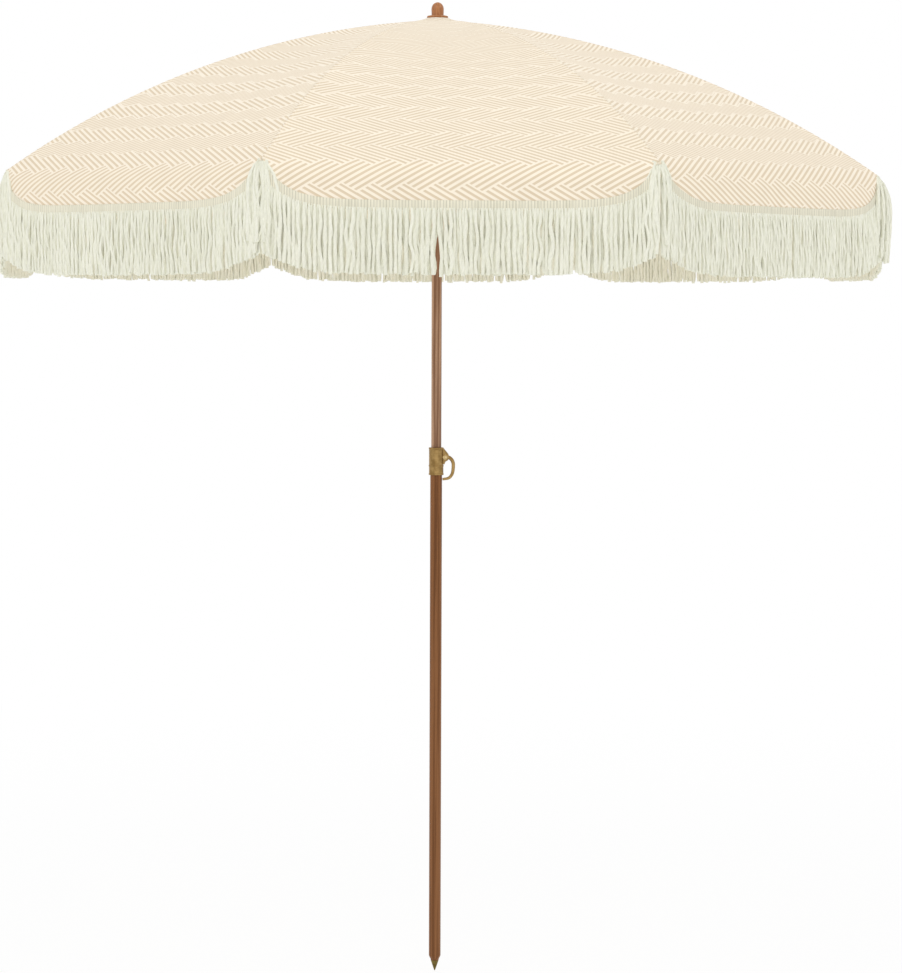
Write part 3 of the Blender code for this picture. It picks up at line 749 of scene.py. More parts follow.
@dataclass(frozen=True)
class TwistedCotton:
    """Sage cotton yarn with twisted plies.

    The plies' groove is a sine of plies * u + v / lay in turns, where u runs round the yarn and v along it.
    """

    name: str
    dark: Colour
    light: Colour
    lay: float = 0.013
    plies: float = 2.0
    # Share of painted shade in the plies' grooves.
    groove: float = 0.03
    groove_range: Pair = (-1.0, 0.2)
    fibres: Grain = Grain((900.0, 900.0, 420.0), 3.0)
    patches: Grain = Grain((40.0, 40.0, 22.0), 3.0)
    patch_tone: float = 0.35
    fibre_tone: float = 0.12
    fibre_height: float = 0.15
    relief: Pair = (0.16, 0.0007)
    roughness: float = 0.95
    sheen: float = 0.2
    sheen_roughness: float = 0.45

    def material(self) -> Material:
        """The yarn: a tone for each strand, painted shade in the grooves between the plies, and fine fibres.

        Returns:
            The material.
        """
        graph = Graph.of_material(self.name)
        around, along = graph.surface()
        turns = graph.weighted(around, self.plies, graph.math("DIVIDE", along, self.lay))
        ply = graph.math("SINE", graph.math("MULTIPLY", turns, TURN))
        groove = graph.between(ply, *self.groove_range)
        fibre, patchy = map(graph.grain, (self.fibres, self.patches))
        tone = graph.strayed(fibre, -self.patch_tone / 2, self.fibre_tone)
        tone = graph.math("ADD", graph.mark("tone"), graph.weighted(patchy, self.patch_tone, tone))
        # Painted shade: the colour is darkened in the plies' grooves by the groove share.
        shade = graph.weighted(groove, self.groove, 1 - self.groove)
        colour = graph.shaded(graph.mix(tone, self.dark, self.light), shade)
        graph.bump(graph.weighted(fibre, self.fibre_height, groove), *self.relief)
        return graph.finish(base_color=colour, roughness=self.roughness, sheen_weight=self.sheen,
                            sheen_roughness=self.sheen_roughness)


# Sub-assemblies


@dataclass
class Pole:
    """The two tubes, the spike and the finial."""

    lower_r: float = 0.014
    upper_r: float = 0.012
    wall: float = 0.0012
    fit: float = 0.0003
    spike_height: float = 0.026
    spike_step: float = 0.0006
    spike_bow: float = 1.08
    taper_top: float = 0.038
    neck_r: float = 0.00958
    point_r: float = 0.0008
    lower_top: float = 1.2142
    upper_bottom: float = 1.0298
    upper_top: float = 2.2503
    slot_low: float = 2.00503
    slot_high: float = 2.02903
    slot_half: float = 0.0018
    flange_z: float = 2.2625
    flange_r: float = 0.025
    flange_thick: float = 0.0055
    neck_knob_r: float = 0.0142
    knob_r: float = 0.0145
    knob_dome: float = 0.0167
    top: float = 2.3
    finial_stem: float = 0.057
    bend_steps: int = 7
    cone_steps: int = 9
    dome_steps: int = 12
    rim_steps: int = 8
    lower_coat: TubeCoat = TubeCoat(
        "brown_coat_lower", (0.144, 0.053, 0.0155), (0.26, 0.11, 0.0405), 0.42, 0.15
    )
    upper_coat: TubeCoat = TubeCoat(
        "brown_coat_upper", (0.175, 0.076, 0.032), (0.505, 0.308, 0.195), 0.3, 0.25
    )
    olive: CastMetal = CastMetal("olive_brass", (0.1, 0.074, 0.02), (0.24, 0.18, 0.055), 0.4)
    wood: TurnedWood = TurnedWood()

    def lower_tube(self) -> Patch:
        """Lower tube: its wall turned, and drawn in to the neck by the smooth step t^2 (3 - 2 t).

        Returns:
            The closed shell.
        """
        inner = self.lower_r - self.wall
        bend = np.linspace(0, 1, self.bend_steps)
        ease = bend * bend * (3 - 2 * bend)
        heights = self.taper_top + (self.spike_height - self.taper_top) * bend
        outer = list(zip(self.lower_r + (self.neck_r - self.lower_r) * ease, heights))
        inside = [(radius - self.wall, height) for radius, height in outer[::-1]]
        rim = [(inner, self.lower_top), (self.lower_r, self.lower_top)]
        return lathe(rim + outer + inside + rim[:1])

    def upper_section(self, low: float, high: float) -> Outline:
        """Section of the upper tube's wall between two heights."""
        inner = self.upper_r - self.wall
        return [(inner, high), (self.upper_r, high), (self.upper_r, low), (inner, low)]

    def upper_tube(self) -> list[Patch]:
        """Upper tube in three lengths, of which the middle one has the slot of the spring catch.

        Returns:
            The closed shells.
        """
        above = self.upper_section(self.slot_high, self.upper_top)
        below = self.upper_section(self.upper_bottom, self.slot_low)
        slotted = self.upper_section(self.slot_low, self.slot_high)
        half_gap = math.asin(self.slot_half / self.upper_r)
        return [*[lathe(part + part[:1]) for part in (above, below)], split_ring(slotted, half_gap)]

    def spike(self) -> Patch:
        """Pointed foot with a small step under the tube, whose radius falls from neck to point by t^bow.

        Returns:
            The closed shell.
        """
        shoulder = self.spike_height - self.fit
        share = np.linspace(0, 1, self.cone_steps)
        radii = self.neck_r + (self.point_r - self.neck_r) * share**self.spike_bow
        cone = list(zip(radii, shoulder * (1 - share)))
        return lathe([(0, shoulder), (self.neck_r - self.spike_step, shoulder), *cone, (0, 0)])

    def knob(self) -> Patch:
        """Finial: an elliptic dome, a neck that narrows as a sine, a round rim, and a stem in the tube.

        Returns:
            The closed shell.
        """
        turn = np.linspace(0, QUARTER, self.dome_steps)
        dome = list(zip(self.knob_r * np.sin(turn), self.top - self.knob_dome * (1 - np.cos(turn))))
        low_dome, flange_top = self.top - self.knob_dome, self.flange_z + self.flange_thick
        waist = np.linspace(0, 1, self.rim_steps)[1:]
        narrow = self.knob_r + (self.neck_knob_r - self.knob_r) * np.sin(waist * QUARTER)
        neck = list(zip(narrow, low_dome + (flange_top - low_dome) * waist))
        half = self.flange_thick / 2
        edge = np.linspace(QUARTER, -QUARTER, self.rim_steps)
        rim = circle((self.flange_r - half, self.flange_z + half), half, edge).tolist()
        stem_r, stem_z = self.upper_r - self.wall - self.fit, self.flange_z - self.finial_stem
        return lathe(dome + neck + rim + [(stem_r, self.flange_z), (stem_r, stem_z), (0, stem_z)])

    def build(self) -> None:
        """Make the tubes, the spike and the finial."""
        add_piece("pole_lower_tube", [self.lower_tube()], self.lower_coat.material(),
                  "ground_pole", ["lower_pole"])
        add_piece("pole_upper_tube", self.upper_tube(), self.upper_coat.material(),
                  "upper_pole", ["upper_pole"])
        add_piece("ground_spike", [self.spike()], self.olive.material(),
                  "ground_pole", ["spike_tip"])
        add_piece("finial_knob", [self.knob()], self.wood.material(),
                  "upper_pole", ["finial"])


@dataclass
class Clamp:
    """Split collar at the joint of the tubes, its lever and its pin.

    shoulder gives two points of the ear's outline from its pivot, and bar gives the lever's line from its
    pivot, each as outwards, up and half the thickness.
    """

    step: float = 1.2145
    below: float = 0.0237
    above: float = 0.0413
    low_bore: float = 0.0143
    high_bore: float = 0.0124
    outer: float = 0.0171
    lip: float = 0.0178
    lip_height: float = 0.004
    lip_ease: float = 0.0005
    ear_inner: float = 0.004
    ear_thick: float = 0.0035
    ear_r: float = 0.0095
    ear_edge: float = 0.0008
    ear_top: float = 0.001
    ear_low: float = 0.0015
    nose: Pair = (-math.radians(80), math.radians(20))
    shoulder: tuple[Pair, ...] = ((0.0089, 0.0061), (0.0078, 0.0085))
    foot_r: float = 0.0035
    foot_half: float = 0.0012
    foot_out: float = 0.003
    pivot: Pair = (0.0204, 1.2325)
    eye_r: float = 0.0075
    eye_edge: float = 0.0009
    lever_width: float = 0.0074
    bar_corner: float = 0.45
    pin_head_r: float = 0.0059
    pin_head: float = 0.0012
    pin_gap: float = 0.0002
    pin_seat: float = 0.0001
    nose_steps: int = 20
    eye_sides: int = 40
    bar_steps: int = 49
    pin_steps: int = 7
    pin_sides: int = 32
    bar: tuple[Triple, ...] = (
        (0.0075, 0.0000, 0.0044),
        (0.0110, -0.0010, 0.0043),
        (0.0165, -0.0060, 0.0042),
        (0.0195, -0.0125, 0.0041),
        (0.0202, -0.0205, 0.0040),
        (0.0190, -0.0340, 0.0038),
        (0.0155, -0.0430, 0.0036),
        (0.0085, -0.0495, 0.0033),
        (-0.0054, -0.0521, 0.0028),
    )
    brass: CastMetal = CastMetal("antique_brass_cast", (0.21, 0.125, 0.04), (0.39, 0.255, 0.1))
    pin_metal: CastMetal = CastMetal("bright_brass_pin", (0.4, 0.29, 0.13), (0.6, 0.46, 0.24), 0.26)

    def lip_section(self, low: float) -> Outline:
        """Outer side of a lip, from the top down, with eased edges.

        Args:
            low: Height of the lip's lower side.

        Returns:
            Points as (radius, height).
        """
        high = low + self.lip_height
        eased = self.lip - self.lip_ease
        upper = [(self.outer, high), (eased, high), (self.lip, high - self.lip_ease)]
        return upper + [(self.lip, low + self.lip_ease), (eased, low), (self.outer, low)]

    def barrel(self) -> list[Patch]:
        """Lower ring with a lip at each end, and the split upper ring with a lip at its top.

        Returns:
            The closed shells.
        """
        bottom, top = self.step - self.below, self.step + self.above
        lips = self.lip_section(self.step - self.lip_height) + self.lip_section(bottom)
        lower = [(self.low_bore, self.step), *lips, (self.low_bore, bottom), (self.low_bore, self.step)]
        upper = [(self.high_bore, top), *self.lip_section(top - self.lip_height)]
        upper += [(self.outer, self.step), (self.high_bore, self.step)]
        return [lathe(lower), split_ring(upper, math.asin(self.ear_inner / self.high_bore))]

    def ear_outline(self) -> np.ndarray:
        """Outline of an ear: an arc about the pivot, a sloping shoulder over it, and a foot on the barrel.

        Returns:
            Points as (n, 2).
        """
        foot = self.high_bore + self.foot_r
        top, low = self.step + self.above - self.ear_top, self.step + self.ear_low
        nose = circle(self.pivot, self.ear_r, np.linspace(*self.nose, self.nose_steps))
        shoulder = np.array(self.pivot) + self.shoulder
        near, far = foot - self.foot_half, foot + self.foot_half
        feet = [(far, top), (near, top), (near, low), (foot + self.foot_out, low)]
        return np.concatenate([nose, shoulder, feet])

    def lever_patches(self) -> list[Patch]:
        """Lever: a round eye, and a rounded section carried along the bar's smooth line.

        Returns:
            The closed shells.
        """
        half = self.lever_width / 2
        angle = np.linspace(0, TURN, self.eye_sides, endpoint=False)
        eye = plate(circle(self.pivot, self.eye_r, angle), -half, half, self.eye_edge)
        knots = np.array(self.bar)
        along = np.linspace(0, len(knots) - 1, self.bar_steps)
        line = np.stack([self._smooth(knots[:, axis], along) for axis in range(3)], -1)
        way = np.gradient(line[:, :2], axis=0)
        way /= np.linalg.norm(way, axis=1, keepdims=True)
        section = round_section(1.0, 1.0, self.bar_corner)
        thick = line[:, 2:3] * section[:, 0]
        x = self.pivot[0] + line[:, 0:1] - way[:, 1:2] * thick
        z = self.pivot[1] + line[:, 1:2] + way[:, 0:1] * thick
        y = np.broadcast_to(section[:, 1] * half, thick.shape)
        return [eye, Patch(capped(np.stack([x, y, z], -1)), wrap=True)]

    @staticmethod
    def _smooth(values: np.ndarray, at: np.ndarray) -> np.ndarray:
        """Cubic line through values: a Hermite curve whose slopes are the neighbours' differences.

        Args:
            values: Values at the whole numbers.
            at: Places to read the line at.

        Returns:
            The line's values.
        """
        slope = np.gradient(values)
        index = np.clip(at.astype(int), 0, len(values) - 2)
        t = at - index
        start, end = values[index], values[index + 1]
        first, last = slope[index], slope[index + 1]
        return (
            start * (1 + 2 * t) * (1 - t) ** 2 + first * t * (1 - t) ** 2
            + end * t**2 * (3 - 2 * t) + last * t**2 * (t - 1)
        )

    def pin_patches(self) -> list[Patch]:
        """Heads of the pin: low elliptic domes outside the ears.

        Returns:
            The closed shells.
        """
        turn = np.linspace(0, QUARTER, self.pin_steps)
        outside = self.ear_inner + self.ear_thick + self.pin_gap
        dome = list(zip(self.pin_head_r * np.sin(turn), self.pin_head * np.cos(turn)))
        seat = [(self.pin_head_r, -self.pin_seat), (0, -self.pin_seat)]
        head = lathe(dome + seat, self.pin_sides).points[0]
        x, z = self.pivot[0] + head[..., 0], self.pivot[1] + head[..., 1]
        places = [side * (outside + head[..., 2]) for side in (-1, 1)]
        return [Patch(np.stack([x, y, z], -1), wrap=True) for y in places]

    def build(self) -> None:
        """Make the collar, the lever and the pin's heads."""
        brass = self.brass.material()
        outline = self.ear_outline()
        near, far = self.ear_inner, self.ear_inner + self.ear_thick
        ears = [plate(outline, *faces, self.ear_edge) for faces in ((near, far), (-far, -near))]
        add_piece("clamp_collar_body", self.barrel() + ears, brass,
                  "ground_pole", ["clamp_collar"])
        add_piece("clamp_lever_arm", self.lever_patches(), brass,
                  "clamp_lever", ["clamp_lever"])
        add_piece("clamp_pin_heads", self.pin_patches(), self.pin_metal.material(),
                  "ground_pole", ["lever_pin"])


@dataclass
class RibFrame:
    """Crown hub, runner, ribs, stretchers and spring catch, which stay as the CAD made them."""

    plastic: Moulded = Moulded("cream_moulding", (0.665, 0.605, 0.49), (0.715, 0.655, 0.535), 0.5)
    steel: Moulded = Moulded(
        "plated_steel_strip", (0.48, 0.47, 0.45), (0.58, 0.57, 0.55), 0.34, 1.0,
        Grain((500.0, 500.0, 60.0), 4.0),
    )
    rod: Moulded = Moulded(
        "glass_fibre_rod", (0.62, 0.59, 0.5), (0.8, 0.77, 0.69), 0.46, 0.0,
        Grain((320.0, 320.0, 320.0), 4.0),
    )

    def build(self) -> None:
        """Dress the nodes."""
        plastic, steel, rod = self.plastic.material(), self.steel.material(), self.rod.material()
        for node in ("crown_hub", "runner", "pole_plug"):
            dress(node, plastic)
        for node in ("crown_ring", "runner_ring", "spring_catch", "catch_pin"):
            dress(node, steel)
        for number in range(1, RIBS + 1):
            dress(f"rib_{number}", rod)
            dress(f"stretcher_{number}", steel)


@dataclass
class Canopy:
    """Eight cloth gores, their scalloped valances and seam bindings, and the cap under the finial.

    root and tip are the ends of a rib's arc as (outwards, up), and bow is the arc's rise over its chord.
    ripples holds each wave of the hanging cloth: its length, its phase for each panel and its share.
    """

    root: Pair = (0.044, 2.2496)
    tip: Pair = (1.036, 1.882)
    bow: float = 0.068
    under: float = 0.0034
    thick: float = 0.0009
    inner_r: float = 0.034
    corner_r: float = 1.04
    dip: float = 0.013
    seam: float = -0.0002
    seam_fold: float = 0.0006
    seam_fold_width: float = 0.006
    drop: float = 0.0845
    scallop_round: float = 0.042
    roll: float = 0.055
    roll_least: float = 0.004
    wave: float = 0.003
    ripples: tuple[Triple, ...] = ((0.23, 2.4, 1.0), (0.131, 1.7, 0.6))
    fold_joint: str = "canopy_fold"
    fold_keep: float = 0.24
    pattern_up: tuple[float, ...] = (0.011, -0.02, 0.006, -0.012, 0.0, 0.0, -0.028, 0.016)
    pattern_side: tuple[float, ...] = (0.0, 0.017, -0.011, 0.025, 0.012, 0.021, -0.017, 0.008)
    pattern_foot: float = -0.0635
    crown_lift: float = 0.0067
    crown_from: float = 0.025
    crown_reach: float = 0.0116
    cap_r: float = 0.042
    cap_top: float = 2.2613
    cap_inner: float = 0.0108
    cap_gap: float = 0.0003
    tape_half: float = 0.018
    tape_thick: float = 0.0005
    tape_gap: float = 0.0007
    tape_ends: Pair = (0.045, 1.0)
    gore_rows: int = 45
    gore_columns: int = 25
    valance_rows: int = 17
    valance_columns: int = 81
    cap_rows: int = 17
    cap_sides: int = 96
    tape_rows: int = 41
    tape_columns: int = 9
    valance_inset: float = 0.0012
    valance_crowding: float = 1.6
    seam_far: float = 0.05
    face: HerringboneCanvas = HerringboneCanvas("herringbone_face", Side.FACE)
    reverse: HerringboneCanvas = HerringboneCanvas("herringbone_reverse", Side.REVERSE)

    def __post_init__(self) -> None:
        """Work out the ribs' arc and the rim line."""
        start, end = np.array(self.root), np.array(self.tip)
        chord = end - start
        length = np.linalg.norm(chord)
        self.radius = float((length**2 / 4 + self.bow**2) / (2 * self.bow))
        up = np.array([-chord[1], chord[0]]) / length
        self.centre = (start + end) / 2 - up * (self.radius - self.bow)
        self.half = math.pi / RIBS
        self.rim_x = self.corner_r * math.cos(self.half)
        self.rim_half = self.corner_r * math.sin(self.half)
        self.rim_z = float(self.arc_z(np.array(self.corner_r)))
        reach = self.corner_r - self.centre[0]
        slope = reach / math.sqrt((self.radius + self.under) ** 2 - reach**2) / math.cos(self.half)
        self.lean = math.atan(slope)

    def arc_z(self, r: np.ndarray) -> np.ndarray:
        """Height of the cloth's underside over a rib, on the rib's arc, at distances r from the pole."""
        return self.centre[1] + np.sqrt((self.radius + self.under) ** 2 - (r - self.centre[0]) ** 2)

    def azimuth(self, number: int) -> float:
        """Azimuth of panel 1 to 8."""
        return 2 * self.half * number

    def pattern_place(self, number: int) -> Pair:
        """Pattern coordinates, along and up, of the middle of a panel's rim."""
        return self.pattern_side[number - 1], self.pattern_up[number - 1] - self.pattern_foot

    def cloth_z(self, x: np.ndarray, y: np.ndarray) -> np.ndarray:
        """Height of the cloth's underside in a panel's radial frame.

        With r = x / cos h, s = (r - inner) / (corner - inner) and a = y / (r sin h), it is the arc's height
        at r, lowered by dip sin(pi s) (1 - a^2) between the ribs and raised to the finial by
        lift exp(-(hypot(x, y) - from) / reach).

        Args:
            x: Distances outwards.
            y: Distances along the rim.

        Returns:
            Heights.
        """
        r = x / math.cos(self.half)
        share = np.clip((r - self.inner_r) / (self.corner_r - self.inner_r), 0, 1)
        across = y / (r * math.sin(self.half))
        lift = self.crown_lift * np.exp(-(np.hypot(x, y) - self.crown_from) / self.crown_reach)
        return self.arc_z(r) - self.dip * np.sin(math.pi * share) * (1 - across**2) + lift

    def gore(self, number: int) -> Patch:
        """Cloth between two ribs.

        At share s of the way to the rim and a from -1 to 1 across, r = inner + (corner - inner) s, and the
        point is (r cos h, a (r sin h - seam)) at the height of cloth_z. Near the seams, at the distance e,
        it is raised by fold exp(-(e / width)^2).

        Args:
            number: Panel 1 to 8.

        Returns:
            The sheet, with metres along the rim and up the panel as its texture coordinates.
        """
        share = np.linspace(0, 1, self.gore_rows)[:, None]
        r = self.inner_r + (self.corner_r - self.inner_r) * share
        x = np.broadcast_to(r * math.cos(self.half), (self.gore_rows, self.gore_columns))
        y = crowded(self.gore_columns)[None] * (r * math.sin(self.half) - self.seam)
        edge = r * math.sin(self.half) - np.abs(y)
        z = self.cloth_z(x, y) + self.seam_fold * np.exp(-((edge / self.seam_fold_width) ** 2))
        line = np.stack([x[:, 0], self.arc_z(r)[:, 0]], -1)
        steps = np.linalg.norm(np.diff(line, axis=0), axis=1)
        up = np.concatenate([np.cumsum(steps[::-1])[::-1], [0]])[:, None]
        side, foot = self.pattern_place(number)
        uv = np.stack([y + side, np.broadcast_to(up + foot, y.shape)], -1)
        points = turned_about_z(np.stack([x, y, z], -1), self.azimuth(number))
        return Patch(points, uv=uv, marks={"seam": edge})

    def depth(self, y: np.ndarray) -> np.ndarray:
        """Depth of the hem below the rim: drop (1 - exp(-d / round)) at the distance d from the corner."""
        return self.drop * (1 - np.exp(-(self.rim_half - np.abs(y)) / self.scallop_round))

    def hang(self, y: np.ndarray, down: np.ndarray, number: int) -> tuple[np.ndarray, np.ndarray]:
        """Shape of the hanging cloth.

        The cloth leaves the rim at the panel's slope and rolls over an arc until it hangs straight. The
        arc's radius is in proportion to the hem's depth, so the corners hang close under the rib tips.
        Slow waves grow downwards.

        Args:
            y: Places along the rim.
            down: Depths below the rim.
            number: Panel 1 to 8, which sets the waves' phases.

        Returns:
            Distances outwards from the pole, and lengths of cloth from the rim.
        """
        roll = self.roll * (self.depth(y) / self.drop) + self.roll_least
        angle = np.arccos(np.clip(math.cos(self.lean) - down / roll, 0, 1))
        straight = np.maximum(down - roll * math.cos(self.lean), 0)
        out = roll * (np.sin(angle) - math.sin(self.lean))
        cloth = roll * (angle - self.lean) + straight
        share = np.clip(down / self.drop, 0, 1) ** 2 * (1 - (y / self.rim_half) ** 2)
        waves = [part * np.sin(y * TURN / length + phase * number) for length, phase, part in self.ripples]
        return self.rim_x + out + self.wave * sum(waves) * share, cloth

    def valance(self, number: int) -> Patch:
        """Cloth from the rim down to the scalloped hem: at a share of the depth under y it lies by hang().

        Args:
            number: Panel 1 to 8.

        Returns:
            The sheet, whose texture coordinates go on from the gore's.
        """
        y = (self.rim_half - self.valance_inset) * crowded(self.valance_columns)[None]
        down = np.linspace(0, 1, self.valance_rows)[:, None] ** self.valance_crowding * self.depth(y)
        y = np.broadcast_to(y, down.shape)
        x, cloth = self.hang(y, down, number)
        side, foot = self.pattern_place(number)
        points = turned_about_z(np.stack([x, y, self.rim_z - down], -1), self.azimuth(number))
        uv = np.stack([y + side, foot - cloth], -1)
        return Patch(points, uv=uv, marks={"seam": np.full(y.shape, self.seam_far)})

    def cap(self) -> Patch:
        """Cloth washer: rings that lie just over the gores and are pressed flat under the finial.

        Returns:
            The ring, with metres from the pole along two axes as its texture coordinates.
        """
        angle = np.linspace(0, TURN, self.cap_sides + 1)[None]
        r = np.linspace(self.cap_inner, self.cap_r, self.cap_rows)[:, None] + 0 * angle
        within = (angle + self.half) % (2 * self.half) - self.half
        over = self.cloth_z(r * np.cos(within), r * np.sin(within)) + self.thick + self.cap_gap
        flat = np.stack([r * np.cos(angle), r * np.sin(angle)], -1)
        points = np.concatenate([flat, np.minimum(over, self.cap_top)[..., None]], -1)[:, :-1]
        return Patch(points, wrap=True, uv=flat, marks={"seam": (self.cap_r - r)[:, :-1]})

    def tape(self, number: int) -> Patch:
        """Binding under a seam: at r along the rib and t across it, it lies a small gap under the cloth.

        In the next panel's frame that place is (r cos h + |t| sin h, r sin h - |t| cos h).

        Args:
            number: Rib 1 to 8.

        Returns:
            The strip, in metres across and along as its texture coordinates.
        """
        r = np.linspace(*self.tape_ends, self.tape_rows)[:, None]
        t = np.linspace(-self.tape_half, self.tape_half, self.tape_columns)[None]
        cos, sin = math.cos(self.half), math.sin(self.half)
        z = self.cloth_z(r * cos + np.abs(t) * sin, r * sin - np.abs(t) * cos) - self.tape_gap
        x, y = np.broadcast_arrays(r, t)
        points = turned_about_z(np.stack([x, y, z], -1), self.azimuth(number) - self.half)
        return Patch(points, uv=np.stack([y, x], -1), marks={"seam": self.tape_half - np.abs(y)})

    def thicken(self, piece: bpy.types.Object, reverse: Material, thick: float) -> None:
        """Give a sheet its thickness, with the cloth's reverse on its inner face.

        Args:
            piece: The sheet.
            reverse: Material of the inner face.
            thick: Thickness, which is added outwards.
        """
        piece.data.materials.append(reverse)
        shell = piece.modifiers.new("cloth thickness", "SOLIDIFY")
        shell.thickness = thick
        shell.offset = 1
        shell.material_offset = 1

    def fold(self, piece: bpy.types.Object) -> None:
        """Give a panel's piece a mesh of its own.

        Args:
            piece: The piece.
        """
        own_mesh(piece)

    def build(self, fringe: "Fringe") -> None:
        """Make the cap, and each panel's gore, valance, fringe and seam binding.

        Args:
            fringe: Maker of the header tape and the yarn.
        """
        face, reverse = self.face.material(), self.reverse.material()
        tape, yarn = fringe.tape.material(), fringe.yarn.material()
        cap = add_piece("canopy_cap_cloth", [self.cap()], face,
                        "upper_pole", ["canopy_cap"], closed=False)
        self.thicken(cap, reverse, self.thick)
        for number in range(1, RIBS + 1):
            self.build_panel(number, (face, reverse, tape, yarn), fringe)
            self.build_tape(number, reverse)

    def build_tape(self, number: int, cloth: Material) -> None:
        """Make the binding of one seam.

        Args:
            number: Rib 1 to 8.
            cloth: Material of the binding.
        """
        rib = f"rib_{number}"
        strip = add_piece(f"canopy_seam_tape_{number}", [self.tape(number)], cloth,
                          rib, [], closed=False)
        self.thicken(strip, cloth, self.tape_thick)

    def build_panel(self, number: int, finishes: tuple[Material, ...], fringe: "Fringe") -> None:
        """Make one panel.

        Args:
            number: Panel 1 to 8.
            finishes: Cloth face, cloth reverse, header tape and yarn.
            fringe: Maker of the header tape and the yarn.
        """
        face, reverse, tape, yarn = finishes
        top, skirt = self.gore(number), self.valance(number)
        header, cords = fringe.header(self, number), fringe.strands(self, number)
        rows = (
            ("canopy_gore", top, face, "panel", "panel", Slot.CANVAS),
            ("canopy_valance", skirt, face, "valance", "valance", Slot.CANVAS),
            ("fringe_header", header, tape, "valance", "fringe", Slot.COTTON),
            ("fringe_yarn", cords, yarn, "valance", "fringe", Slot.COTTON),
        )
        gore, valance, *hung = [
            add_piece(f"{name}_{number}", [patch], finish, f"{body}_{number}", [f"{node}_{number}"],
                      closed=slot is Slot.COTTON)
            for name, patch, finish, body, node, slot in rows
        ]
        for piece in (gore, valance):
            self.thicken(piece, reverse, self.thick)
        for piece in (gore, valance, *hung):
            self.fold(piece)


